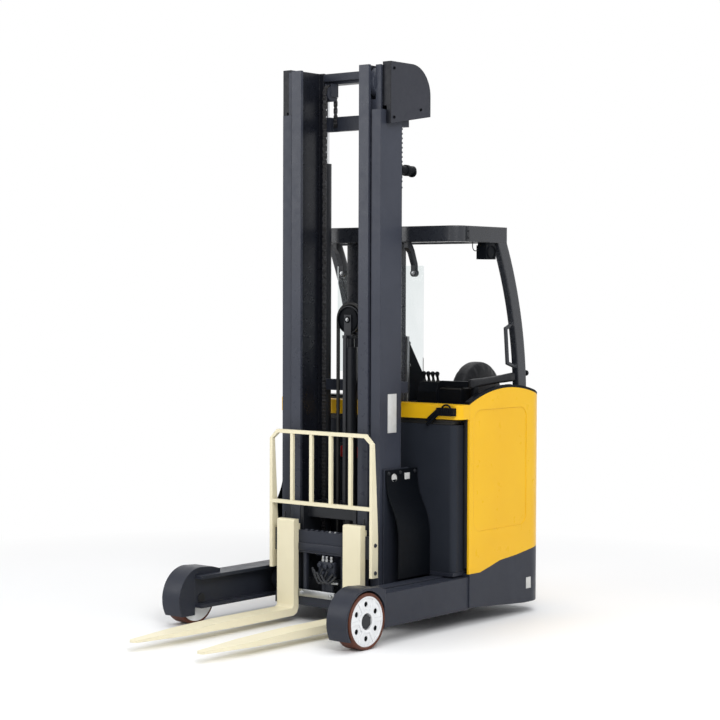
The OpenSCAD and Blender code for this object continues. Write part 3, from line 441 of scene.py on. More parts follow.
YELLOW = Finish("yellow_paint", (0.90, 0.52, 0.012), (0.86, 0.47, 0.009), (0.92, 0.60, 0.10), 0.32,
                Grain.ORANGE_PEEL, wear=0.08, coat=0.12, rounding=0.004, patch=1.6, gloss=0.2)
DARK = Finish("dark_paint", (0.029, 0.033, 0.046), (0.022, 0.025, 0.036), (0.095, 0.10, 0.115), 0.38,
              Grain.POWDER, wear=0.5, rounding=0.004, patch=2.4, gloss=0.20)
# A lighter copy of the dark paint for the mast stages: painted light, as the tall mast stands brighter than
# the legs.
MAST_LIT = Finish("mast_paint_lit", (0.041, 0.046, 0.063), (0.032, 0.036, 0.050), (0.105, 0.11, 0.125), 0.38,
              Grain.POWDER, wear=0.5, rounding=0.004, patch=2.4, gloss=0.22)
# The inner mast's faces behind its front flange get painted shade, over the lighter mast colours.
CHANNEL = PaintedShadeFinish("mast_channel", MAST_LIT.colour, MAST_LIT.shade, MAST_LIT.scuff, 0.30,
                        Grain.ORANGE_PEEL, wear=0.5, rounding=0.004, patch=2.4, gloss=0.25)
# A brighter copy of the black paint for the guard's roof and pillars: painted highlight.
GUARD_LIT = Finish("guard_paint_lit", (0.021, 0.0235, 0.030), (0.016, 0.018, 0.023), (0.07, 0.07, 0.078), 0.28,
               Grain.ORANGE_PEEL, wear=0.3, rounding=0.014, patch=3.0, gloss=0.5)
BLACK = Finish("black_paint", (0.0185, 0.0205, 0.0255), (0.013, 0.0145, 0.018), (0.06, 0.06, 0.066), 0.34,
               Grain.POWDER, wear=0.4, rounding=0.004, patch=3.0, gloss=0.3)
PLASTIC = Finish("black_plastic", (0.0032, 0.0042, 0.0062), (0.0045, 0.0055, 0.0075),
                 (0.025, 0.025, 0.028), 0.44, Grain.PEBBLE, wear=0.2, rounding=0.004, patch=4.0, gloss=0.07)
CREAM = Finish("cream_paint", (0.88, 0.81, 0.59), (0.82, 0.75, 0.53), (0.58, 0.53, 0.43), 0.40,
               Grain.ORANGE_PEEL, wear=0.7, rounding=0.003, patch=3.0, gloss=0.35)
BATTERY = Finish("battery_case", (0.0245, 0.0285, 0.038), (0.0190, 0.0220, 0.030), (0.06, 0.06, 0.068), 0.36,
                 Grain.POWDER, wear=0.5, rounding=0.005, patch=2.0, gloss=0.09)
STEEL = Finish("bare_steel", (0.42, 0.43, 0.44), (0.30, 0.31, 0.32), (0.55, 0.55, 0.56), 0.34,
               Grain.BRUSHED, metallic=1.0, rounding=0.002, patch=6.0)
CHROME = Finish("rod_chrome", (0.66, 0.67, 0.69), (0.60, 0.61, 0.63), (0.7, 0.7, 0.7), 0.12,
                Grain.BRUSHED, metallic=1.0, rounding=0.0, patch=5.0)
CHAIN = Finish("chain_steel", (0.065, 0.065, 0.070), (0.032, 0.031, 0.030), (0.25, 0.25, 0.25), 0.40,
               Grain.BRUSHED, metallic=0.9, rounding=0.0, patch=40.0)
HUB = Finish("hub_paint", (0.85, 0.86, 0.87), (0.74, 0.75, 0.76), (0.36, 0.36, 0.36), 0.38,
             Grain.ORANGE_PEEL, wear=0.5, rounding=0.003, patch=9.0, gloss=0.35)
TYRE = Finish("wheel_tyre", (0.105, 0.028, 0.012), (0.075, 0.021, 0.010), (0.15, 0.055, 0.030), 0.50,
              Grain.CAST, wear=0.5, rounding=0.003, patch=14.0, gloss=0.3)
VINYL = Finish("seat_vinyl", (0.007, 0.0078, 0.010), (0.010, 0.0108, 0.013), (0.05, 0.05, 0.05), 0.46,
               Grain.HIDE, rounding=0.0, patch=6.0, gloss=0.2)
HOSE = Finish("hose_rubber", (0.010, 0.010, 0.010), (0.018, 0.018, 0.018), (0.04, 0.04, 0.04), 0.50,
              Grain.CAST, rounding=0.0, patch=10.0, gloss=0.3)
SIGN = Finish("blank_plate", (0.62, 0.62, 0.61), (0.53, 0.53, 0.51), (0.40, 0.40, 0.38), 0.42,
              Grain.ORANGE_PEEL, wear=0.6, rounding=0.0008, patch=20.0, gloss=0.35)
RED = Finish("red_plastic", (0.42, 0.012, 0.012), (0.34, 0.010, 0.010), (0.52, 0.08, 0.07), 0.34,
             Grain.PEBBLE, wear=0.3, rounding=0.001, patch=12.0, gloss=0.4)
GLOSS = Finish("display_glass", (0.006, 0.007, 0.009), (0.009, 0.010, 0.012), (0.03, 0.03, 0.03), 0.10,
               Grain.ORANGE_PEEL, rounding=0.001, patch=8.0)
# The mast covers' front faces, ahead of Y 0.094, get painted shade.
COVER = PaintedShadeFinish("mast_cover", (0.026, 0.028, 0.038), (0.021, 0.023, 0.031), (0.07, 0.07, 0.08), 0.44,
                      Grain.PEBBLE, wear=0.3, rounding=0.006, patch=4.0, gloss=0.25, across=(0.097, 0.094))
SCREEN = ClearSheet("clear_screen", (0.66, 0.72, 0.71), 0.0)

SLOT_FINISHES: dict[str, Coating] = {
    finish.name: finish for finish in (YELLOW, DARK, BLACK, PLASTIC, CREAM, BATTERY, STEEL,
                                       CHROME, CHAIN, HUB, TYRE, VINYL, HOSE, SCREEN)
}


@dataclass
class Studio:
    """Floor, soft light and the photograph's camera.

    Attributes:
        eye: Place of the camera in metres.
        azimuth: Turn of the camera round the truck in degrees, 0 along +Y.
        pitch: Tilt down in degrees.
        roll: Roll in degrees.
        focal_px: Focal length in pixels of the photograph.
        image_px: Side of the photograph in pixels.
        sensor_mm: Width of the camera's sensor.
        floor_side: Side of the floor in metres.
        fade: Distances from the truck's middle where the floor starts and ends fading to white.
        sky: Colour and strength of the sky that gives light.
        backdrop: Colour and strength of the sky that is seen.
        aim: Where the lamps look.
    """

    eye: Point = (6.4415, -7.6751, 1.7761)
    azimuth: float = 38.91
    pitch: float = 2.062
    roll: float = 0.194
    focal_px: float = 1885.2
    image_px: float = 720.0
    sensor_mm: float = 36.0
    floor_side: float = 400.0
    fade: Span = (2.0, 4.2)
    sky: tuple[Colour, float] = ((0.95, 0.97, 1.0), 0.50)
    backdrop: tuple[Colour, float] = ((1.0, 1.0, 1.0), 1.0)
    aim: Point = (0.0, 0.1, 1.2)

    def build(self) -> None:
        """Make the floor, the lamps, the world and the camera."""
        self._floor()
        self._world()
        self._lamps()
        self._camera()
        bpy.context.scene.view_settings.view_transform = "Standard"

    def _floor(self) -> None:
        """A plain pale floor that keeps the shadow near the truck and fades to white further off."""
        bpy.ops.mesh.primitive_plane_add(size=self.floor_side, location=(0.0, 0.0, 0.0))
        floor = bpy.context.object
        floor.name = "floor"
        shader = Shader("pale_floor")
        tone = shader.noise((0.8, 0.8, 0.8), 2.0)
        pale = shader.blend(tone, "Fac", (0.93, 0.93, 0.93), (0.96, 0.96, 0.96))
        shader.join(pale, 2, shader.surface, "Base Color")
        shader.put(shader.surface, in_Roughness=0.6, in_Specular_IOR_Level=0.15)
        white = shader.add("ShaderNodeEmission", in_Strength=1.0)
        away = shader.add("ShaderNodeVectorMath", operation="LENGTH")
        shader.join(shader.coordinates((1.0, 1.0, 1.0)), "Vector", away, 0)
        far = shader.span(away, "Value", self.fade, (0.0, 1.0))
        share = shader.add("ShaderNodeMath", operation="MULTIPLY")
        shader.join(far, "Result", share, 0)
        shader.join(shader.seen(), 0, share, 1)
        mix = shader.add("ShaderNodeMixShader")
        shader.join(share, 0, mix, 0)
        shader.join(shader.surface, "BSDF", mix, 1)
        shader.join(white, "Emission", mix, 2)
        shader.join(mix, 0, shader.output, "Surface")
        floor.data.materials.append(shader.material)

    def _world(self) -> None:
        """A white sky for the camera and gloss, and a dimmer one for light."""
        world = bpy.data.worlds.new("studio")
        bpy.context.scene.world = world
        world.use_nodes = True
        nodes = Nodes(world.node_tree)
        mix = nodes.add("ShaderNodeMixShader")
        nodes.join(nodes.seen(), 0, mix, 0)
        for place, (colour, strength) in enumerate((self.sky, self.backdrop), 1):
            sky = nodes.add("ShaderNodeBackground", in_Color=(*colour, 1.0), in_Strength=strength)
            nodes.join(sky, 0, mix, place)
        nodes.join(mix, 0, nodes.add("ShaderNodeOutputWorld"), "Surface")

    def _lamps(self) -> None:
        """Three broad lamps: a key from the right, a fill from the left and one above."""
        lamps = (
            ("key", (5.5, -4.0, 5.5), 3.5, 300.0),
            ("fill", (-5.0, -6.0, 4.0), 4.5, 170.0),
            ("top", (0.5, 1.0, 6.5), 5.0, 200.0),
        )
        for name, place, side, watts in lamps:
            data = bpy.data.lights.new(name, "AREA")
            data.size = side
            data.energy = watts
            lamp = bpy.data.objects.new(name, data)
            bpy.context.scene.collection.objects.link(lamp)
            lamp.location = place
            lamp.rotation_euler = (Vector(self.aim) - Vector(place)).to_track_quat("-Z", "Y").to_euler()

    def _camera(self) -> None:
        """The camera that took the photograph."""
        turn, tilt, lean = (math.radians(x) for x in (self.azimuth, self.pitch, self.roll))
        ahead = Vector((-math.sin(turn) * math.cos(tilt), math.cos(turn) * math.cos(tilt), -math.sin(tilt)))
        level = Vector((math.cos(turn), math.sin(turn), 0.0))
        over = level.cross(ahead)
        right = level * math.cos(lean) + over * math.sin(lean)
        up = over * math.cos(lean) - level * math.sin(lean)
        data = bpy.data.cameras.new("photo_camera")
        data.sensor_width = self.sensor_mm
        data.lens = self.focal_px / self.image_px * self.sensor_mm
        data.clip_end = 500.0
        camera = bpy.data.objects.new("photo_camera", data)
        bpy.context.scene.collection.objects.link(camera)
        camera.matrix_world = Matrix.Translation(self.eye) @ Matrix((right, up, -ahead)).transposed().to_4x4()
        bpy.context.scene.camera = camera


@dataclass
class CadDress:
    """Gives every CAD node the finish of its material slot.

    Attributes:
        own: Nodes that look different from the rest of their slot; the mast, guard, covers and lift carriage
            among them carry painted light or painted shade.
    """

    frame: dict
    # The lift carriage takes the darker black paint as painted shade in the void behind the forks.
    own: dict[str, Finish] = field(default_factory=lambda: {
        "mast_covers": COVER, "outer_mast": MAST_LIT, "middle_mast": MAST_LIT, "inner_mast": CHANNEL,
        "guard_roof": GUARD_LIT, "guard_pillars": GUARD_LIT, "lift_carriage": BLACK})

    def build(self) -> None:
        """Dress all the nodes."""
        for part in self.frame["record"]["subparts"]:
            node = self.frame["nodes"][part["node"]]
            finish = self.own.get(part["node"], SLOT_FINISHES[part["material_slot"]])
            node.data.materials.clear()
            node.data.materials.append(finish.material())


class Bench:
    """Modelling by Blender's own operators, one piece at a time."""

    @staticmethod
    def clear() -> None:
        """Leave edit mode and deselect everything."""
        if bpy.context.object and bpy.context.object.mode != "OBJECT":
            bpy.ops.object.mode_set(mode="OBJECT")
        bpy.ops.object.select_all(action="DESELECT")

    @staticmethod
    def only(piece: Piece) -> None:
        """Select one piece and make it active."""
        Bench.clear()
        piece.select_set(True)
        bpy.context.view_layer.objects.active = piece

    @staticmethod
    def settle(piece: Piece) -> Piece:
        """Put a piece's place, turn and size into its mesh."""
        Bench.only(piece)
        bpy.ops.object.transform_apply(location=True, rotation=True, scale=True)
        return piece

    @staticmethod
    def round_edges(piece: Piece, width: float, segments: int = 2) -> Piece:
        """Bevel the sharp edges.

        Args:
            piece: A settled mesh piece.
            width: Width of the bevel in metres.
            segments: Steps of the bevel.

        Returns:
            The same piece.
        """
        Bench.only(piece)
        bpy.ops.object.mode_set(mode="EDIT")
        bpy.ops.mesh.select_mode(type="EDGE")
        bpy.ops.mesh.select_all(action="DESELECT")
        bpy.ops.mesh.edges_select_sharp(sharpness=math.radians(28))
        bpy.ops.mesh.bevel(offset=width, segments=segments, affect="EDGES")
        bpy.ops.object.mode_set(mode="OBJECT")
        return piece

    @staticmethod
    def box(low: Point, high: Point, bevel: float, segments: int = 2) -> Piece:
        """A block with rounded edges.

        Args:
            low: Lowest corner.
            high: Highest corner.
            bevel: Width of the rounding.
            segments: Steps of the rounding.

        Returns:
            The piece.
        """
        Bench.clear()
        first, last = Vector(low), Vector(high)
        bpy.ops.mesh.primitive_cube_add(size=1.0, location=(first + last) / 2)
        piece = bpy.context.object
        piece.scale = last - first
        return Bench.round_edges(Bench.settle(piece), bevel, segments)

    @staticmethod
    def disc(foot: Point, axis: Point, radius: float, height: float, bevel: float, sides: int = 32) -> Piece:
        """A round or six-sided disc with rounded rims.

        Args:
            foot: Middle of the face that it stands on.
            axis: Direction that it stands in.
            radius: Radius, over the corners where it has six sides.
            height: Height along the axis.
            bevel: Width of the rounding.
            sides: Number of sides.

        Returns:
            The piece.
        """
        Bench.clear()
        way = Vector(axis).normalized()
        bpy.ops.mesh.primitive_cylinder_add(vertices=sides, radius=radius, depth=height,
                                            location=Vector(foot) + way * height / 2,
                                            rotation=way.to_track_quat("Z", "Y").to_euler())
        return Bench.round_edges(Bench.settle(bpy.context.object), bevel)

    @staticmethod
    def dish(piece: Piece, axis: Point, rim: float, depth: float) -> Piece:
        """Add a copy of the piece's shell, moved along an axis.

        A rim with a sunk middle was meant. Edit mode opens in edge mode, where the bevel has left the
        whole shell selected, so the inset finds no border and the whole shell is copied.

        Args:
            piece: A settled mesh piece.
            axis: Direction that the copy moves in.
            rim: Width of the rim that was meant.
            depth: How far the copy moves along the axis; below 0 it sinks.

        Returns:
            The same piece.
        """
        way = Vector(axis).normalized()
        Bench.only(piece)
        for face in piece.data.polygons:
            face.select = face.normal.dot(way) > 0.999
        bpy.ops.object.mode_set(mode="EDIT")
        bpy.ops.mesh.select_mode(type="FACE")
        bpy.ops.mesh.inset(thickness=rim)
        bpy.ops.mesh.extrude_region_move(TRANSFORM_OT_translate={"value": way * depth})
        bpy.ops.object.mode_set(mode="OBJECT")
        return piece

    @staticmethod
    def tube(points: Sequence[Point], radius: float, closed: bool = False) -> Piece:
        """A mesh tube along a smooth line.

        Args:
            points: Points that the line passes.
            radius: Radius of the tube.
            closed: Whether the line closes on itself.

        Returns:
            The piece.
        """
        piece = Bench.line(points, radius, closed)
        Bench.only(piece)
        bpy.ops.object.convert(target="MESH")
        return bpy.context.object

    @staticmethod
    def line(points: Sequence[Point], radius: float, closed: bool = False) -> Piece:
        """A round curve through points.

        Args:
            points: Points that the curve passes.
            radius: Radius of its bevel.
            closed: Whether it closes on itself.

        Returns:
            The curve object.
        """
        data = bpy.data.curves.new("line", "CURVE")
        data.dimensions = "3D"
        data.bevel_depth = radius
        data.bevel_resolution = 3
        data.use_fill_caps = not closed
        spline = data.splines.new("POLY")
        spline.points.add(len(points) - 1)
        for knot, place in zip(spline.points, points):
            knot.co = (*place, 1.0)
        spline.use_cyclic_u = closed
        piece = bpy.data.objects.new("line", data)
        bpy.context.scene.collection.objects.link(piece)
        return piece

    @staticmethod
    def copies(piece: Piece, moves: Sequence[Matrix]) -> list[Piece]:
        """Copy a piece, each copy with its own mesh.

        Args:
            piece: The piece to copy.
            moves: Where each copy goes.

        Returns:
            The copies; the first piece is removed.
        """
        made = []
        for move in moves:
            copy = piece.copy()
            copy.data = piece.data.copy()
            copy.data.transform(move)
            if move.determinant() < 0:
                copy.data.flip_normals()
            bpy.context.scene.collection.objects.link(copy)
            made.append(copy)
        bpy.data.objects.remove(piece, do_unlink=True)
        return made

    @staticmethod
    def join(pieces: Sequence[Piece]) -> Piece:
        """Join pieces into one."""
        Bench.only(pieces[0])
        for piece in pieces:
            piece.select_set(True)
        if len(pieces) > 1:
            bpy.ops.object.join()
        return bpy.context.object

    @staticmethod
    def apply(piece: Piece, kind: str, **settings: object) -> Piece:
        """Add a modifier and apply it.

        Args:
            piece: The piece.
            kind: Blender's name of the modifier type.
            **settings: The modifier's properties.

        Returns:
            The same piece.
        """
        modifier = piece.modifiers.new(kind.lower(), kind)
        for key, value in settings.items():
            setattr(modifier, key, value)
        Bench.only(piece)
        bpy.ops.object.modifier_apply(modifier=modifier.name)
        return piece

    @staticmethod
    def mirrored(piece: Piece) -> Piece:
        """The piece and its twin across the truck's middle, as one."""
        return Bench.join(Bench.copies(piece, (Matrix.Identity(4), Matrix.Scale(-1.0, 4, LEFT))))

    @staticmethod
    def bolt(foot: Point, axis: Point, size: float) -> Piece:
        """A hexagon bolt head on a washer.

        Args:
            foot: Where the washer lies.
            axis: Direction that the head looks in.
            size: Thread size in metres.

        Returns:
            The piece.
        """
        way = Vector(axis).normalized()
        washer = Bench.disc(foot, axis, size * 1.15, size * 0.18, size * 0.05, 24)
        head = Bench.disc(Vector(foot) + way * size * 0.18, axis, size * 0.92, size * 0.62, size * 0.10, 6)
        return Bench.join((washer, head))

    @staticmethod
    def bolts(places: Sequence[Point], axis: Point, size: float) -> list[Piece]:
        """The same bolt at several places."""
        return [Bench.bolt(place, axis, size) for place in places]


def hand_over(pieces: Sequence[Piece], name: str, finish: Coating, body: str, both: bool = False) -> Piece:
    """Join finished pieces into one, name, dress and hang it, and report it.

    Args:
        pieces: The pieces.
        name: Name of what they make.
        finish: Its finish.
        body: CAD body that it rides on.
        both: Whether it has a twin across the truck's middle.

    Returns:
        The one piece.
    """
    piece = Bench.join(pieces)
    if both:
        piece = Bench.mirrored(piece)
    piece.name = name
    piece.data.name = name
    piece.data.materials.clear()
    piece.data.materials.append(finish.material())
    if piece.type == "MESH":
        Bench.only(piece)
        bpy.ops.object.shade_smooth_by_angle(angle=math.radians(35))
    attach(piece, body)
    LOG.info("%s on %s", name, body)
    return piece


@dataclass
class Pads:
    """Stuffed seat cushion, seat back and hip pad, swollen by cloth pressure.

    Attributes:
        voxel: Size of the cloth's cells in metres.
        swell: Furthest that a point of the cloth may move.
        start: How much smaller the form is before it swells.
        pressure: Pressure of the stuffing.
        frames: Frames that the stuffing takes.
        seam: Depth of a sewn channel.
        seam_width: Width of a sewn channel.
        piping: Radius of the welt along an edge.
        seams: Places of the cushion's seams, as shares of its width from the middle.
        welt: Height of the cushion's welt, as a share of its height.
        arc: Radius of the back's seam, as a share of the back's own.
        held: Height above a pad's foot below which its cloth is held.
        rail: Foot, rise to the rear and height of the hip pad.
        rail_start: How much smaller the hip pad's form is before it swells.
        rail_swell: Furthest that a point of the hip pad may move.
        posts: Distance of the hip pad's posts from its front and rear end.
        post: Length of a post along the rail.
    """

    voxel: float = 0.006
    swell: float = 0.012
    start: float = 0.005
    pressure: float = 4.0
    frames: int = 20
    seam: float = 0.007
    seam_width: float = 0.014
    piping: float = 0.0045
    seams: Point = (-0.22, 0.0, 0.22)
    welt: float = 0.78
    arc: float = 0.62
    held: float = 0.012
    rail: Point = (1.262, 0.026, 0.05)
    rail_start: float = 0.002
    rail_swell: float = 0.004
    posts: Span = (0.03, 0.07)
    post: float = 0.04

    def build(self) -> None:
        """Make the three pads."""
        self._cushion()
        self._back()
        self._hip()

    def _cushion(self) -> None:
        """The seat cushion, flat where it rests on the pedestal."""
        low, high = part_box("seat_cushion")
        gap = Vector((self.start, self.start, 0.0))
        top = Vector((self.start, self.start, self.start))
        pad = Bench.box(low + gap, high - top, 0.045, 5)
        self._stuff(pad, lambda place: place.z < low.z + self.held)
        middle = (low + high) / 2
        lines = [middle.x + step * (high.x - low.x) for step in self.seams]
        self._sew(pad, lambda at: min(abs(at.x - x) for x in lines), Vector(UP))
        welt = self._welt(pad, middle, low.z + self.welt * (high.z - low.z))
        hand_over([pad], "seat_cushion_pad", VINYL, "chassis")
        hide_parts("seat_cushion")
        hand_over([welt], "seat_cushion_welt", PLASTIC, "chassis")

    def _back(self) -> None:
        """The domed seat back, stuffed and held at its foot."""
        low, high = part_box("seat_back")
        radius = (high.y - low.y) / 2
        inside = self.start
        lower = Bench.box((low.x + inside, low.y + inside, low.z),
                          (high.x - inside, high.y - inside, high.z - radius), 0.02, 3)
        dome = Bench.disc((low.x + inside, (low.y + high.y) / 2, high.z - radius), LEFT,
                          radius - inside, high.x - low.x - 2 * inside, 0.02, 64)
        pad = Bench.join((lower, dome))
        self._stuff(pad, lambda place: place.z < low.z + self.held)
        middle = Vector(((low.x + high.x) / 2, (low.y + high.y) / 2, high.z - radius))
        arc = radius * self.arc
        self._sew(pad, lambda at: abs(math.hypot(at.y - middle.y, at.z - middle.z) - arc)
                  if at.z > middle.z else abs(abs(at.y - middle.y) - arc), Vector((-1.0, 0.0, 0.0)))
        hand_over([pad], "seat_back_pad", VINYL, "chassis")
        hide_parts("seat_back")

    def _hip(self) -> None:
        """The padded rail behind the seat, on its two posts."""
        low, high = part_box("hip_rail")
        foot, rise, tall = self.rail
        inside = self.rail_start
        pad = Bench.box((low.x + inside, low.y + inside, foot),
                        (high.x - inside, high.y - inside, foot + tall), 0.009, 3)
        for corner in pad.data.vertices:
            corner.co.z += rise * (corner.co.y - low.y) / (high.y - low.y)
        posts = [Bench.box((low.x + 0.006, y, low.z), (high.x - 0.006, y + self.post, foot + 0.012), 0.004)
                 for y in (low.y + self.posts[0], high.y - self.posts[1])]
        self._stuff(pad, lambda place: False, self.rail_swell)
        hand_over([pad], "hip_pad", VINYL, "chassis")
        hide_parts("hip_rail")
        hand_over(posts, "hip_posts", PLASTIC, "chassis")

    def _stuff(self, pad: Piece, held: Callable[[Vector], bool], limit: float | None = None) -> None:
        """Turn a form into cloth and blow it up.

        Args:
            pad: The form, a little smaller than the finished pad.
            held: Whether a point stays where it is.
            limit: Furthest that a point may move; the pads' swell if not given.
        """
        cap = self.swell if limit is None else limit
        Bench.apply(pad, "REMESH", mode="VOXEL", voxel_size=self.voxel)
        starts = [corner.co.copy() for corner in pad.data.vertices]
        group = pad.vertex_groups.new(name="held")
        group.add([i for i, place in enumerate(starts) if held(place)], 1.0, "REPLACE")
        stuffing = pad.modifiers.new("stuffing", "CLOTH")
        stuffing.settings.use_pressure = True
        stuffing.settings.uniform_pressure_force = self.pressure
        stuffing.settings.vertex_group_mass = "held"
        stuffing.settings.effector_weights.gravity = 0.0
        for frame in range(1, self.frames + 1):
            bpy.context.scene.frame_set(frame)
        Bench.only(pad)
        bpy.ops.object.modifier_apply(modifier="stuffing")
        bpy.context.scene.frame_set(1)
        for corner, start in zip(pad.data.vertices, starts):
            step = corner.co - start
            if step.length > cap:
                corner.co = start + step * (cap / step.length)
        Bench.apply(pad, "SMOOTH", factor=0.5, iterations=4)
        Bench.apply(pad, "SUBSURF", levels=1, render_levels=1)

    def _sew(self, pad: Piece, distance: Callable[[Vector], float], face: Vector) -> None:
        """Draw the cloth in along a seam.

        Args:
            pad: The pad.
            distance: Distance of a point from the seam's line.
            face: Direction that the sewn face looks in.
        """
        normals = [corner.normal.copy() for corner in pad.data.vertices]
        for corner, normal in zip(pad.data.vertices, normals):
            looks = max(0.0, (normal.dot(face) - 0.25) / 0.75)
            near = 1.0 - distance(corner.co) / self.seam_width
            if looks and near > 0.0:
                corner.co -= face * (self.seam * looks * near * near)

    def _welt(self, pad: Piece, middle: Vector, height: float) -> Piece:
        """The piping round a pad's edge.

        Args:
            pad: The pad that it lies on.
            middle: Middle of the pad.
            height: Height of the welt.

        Returns:
            The piping.
        """
        reach: dict[int, Vector] = {}
        steps = 72
        for corner in pad.data.vertices:
            if abs(corner.co.z - height) < self.voxel:
                away = Vector((corner.co.x - middle.x, corner.co.y - middle.y))
                spot = int((math.atan2(away.y, away.x) / math.tau + 0.5) * steps) % steps
                if spot not in reach or away.length > reach[spot].length:
                    reach[spot] = away
        path = [(middle.x + reach[i].x, middle.y + reach[i].y, height) for i in sorted(reach)]
        welt = Bench.tube(path, self.piping, True)
        Bench.apply(welt, "SMOOTH", factor=0.5, iterations=6)
        return welt


@dataclass
class LiftChains:
    """Leaf chains over the middle stage's sheaves.

    Attributes:
        pitch: Distance between pins.
        plate_long: Length of a plate.
        plate_thick: Thickness of a plate.
        strap: Thickness of the chain across the sheave.
        sheave: Radius of the sheave below the chain.
        wide: Width of the chain.
        rear_end: Height where the rear strand ends.
        rows: Places of the plates across the chain, in an outer row and in the row between.
        pin: Radius of a pin.
    """

    pitch: float = 0.0191
    plate_long: float = 0.0330
    plate_thick: float = 0.0024
    strap: float = 0.008
    sheave: float = 0.042
    wide: float = 0.026
    rear_end: float = 2.67
    rows: tuple[tuple[float, ...], ...] = ((-0.0108, -0.0036, 0.0036, 0.0108), (-0.0072, 0.0, 0.0072))
    pin: float = 0.0028

    def build(self) -> None:
        """Make both chains as one piece."""
        low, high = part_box("lift_chains")
        x = high.x - self.wide / 2
        y = (low.y + high.y) / 2
        middle = self.sheave + self.strap / 2
        crown = high.z - self.sheave - self.strap
        runs = [self._run(Vector((x, y - middle, low.z)), crown - low.z),
                self._run(Vector((x, y + middle, self.rear_end)), crown - self.rear_end)]
        count = round(math.pi * middle / self.pitch)
        turns = []
        for angle in (math.pi * (i + 0.5) / count for i in range(count)):
            place = (x, y - middle * math.cos(angle), crown + middle * math.sin(angle))
            turns.append(Matrix.Translation(place) @ Matrix.Rotation(-angle, 4, "X"))
        links = runs + Bench.copies(self._links(0), turns)
        chain = hand_over(links, "leaf_chains", CHAIN, "middle_stage", both=True)
        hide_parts("lift_chains")

    def _links(self, first: int) -> Piece:
        """One step of the chain at the origin: a pin and a row of plates.

        Args:
            first: 0 for the outer row of plates, 1 for the row between.

        Returns:
            The piece.
        """
        plates = []
        for offset in self.rows[first]:
            Bench.clear()
            bpy.ops.mesh.primitive_cylinder_add(vertices=12, radius=0.5, depth=1.0,
                                                rotation=(0.0, math.pi / 2, 0.0))
            plate = Bench.settle(bpy.context.object)
            plate.data.transform(Matrix.Diagonal((self.plate_thick, self.strap, self.plate_long, 1.0)))
            plate.data.transform(Matrix.Translation((offset, 0.0, 0.0)))
            plates.append(Bench.round_edges(plate, self.plate_thick * 0.2, 1))
        pin = Bench.disc((-self.wide / 2, 0.0, self.pitch / 2), LEFT, self.pin, self.wide, 0.0005, 10)
        return Bench.join((*plates, pin))

    def _run(self, foot: Vector, length: float) -> Piece:
        """A straight run of chain.

        Args:
            foot: Its lower end.
            length: Its length.

        Returns:
            The piece.
        """
        outer, inner = self._links(0), self._links(1)
        inner.data.transform(Matrix.Translation((0.0, 0.0, self.pitch)))
        step = Bench.join((outer, inner))
        step.data.transform(Matrix.Translation(foot + Vector((0.0, 0.0, self.plate_long / 2))))
        count = int((length - self.plate_long) / (2 * self.pitch)) + 1
        return Bench.apply(step, "ARRAY", count=count, use_relative_offset=False, use_constant_offset=True,
                           constant_offset_displace=(0.0, 0.0, 2 * self.pitch))


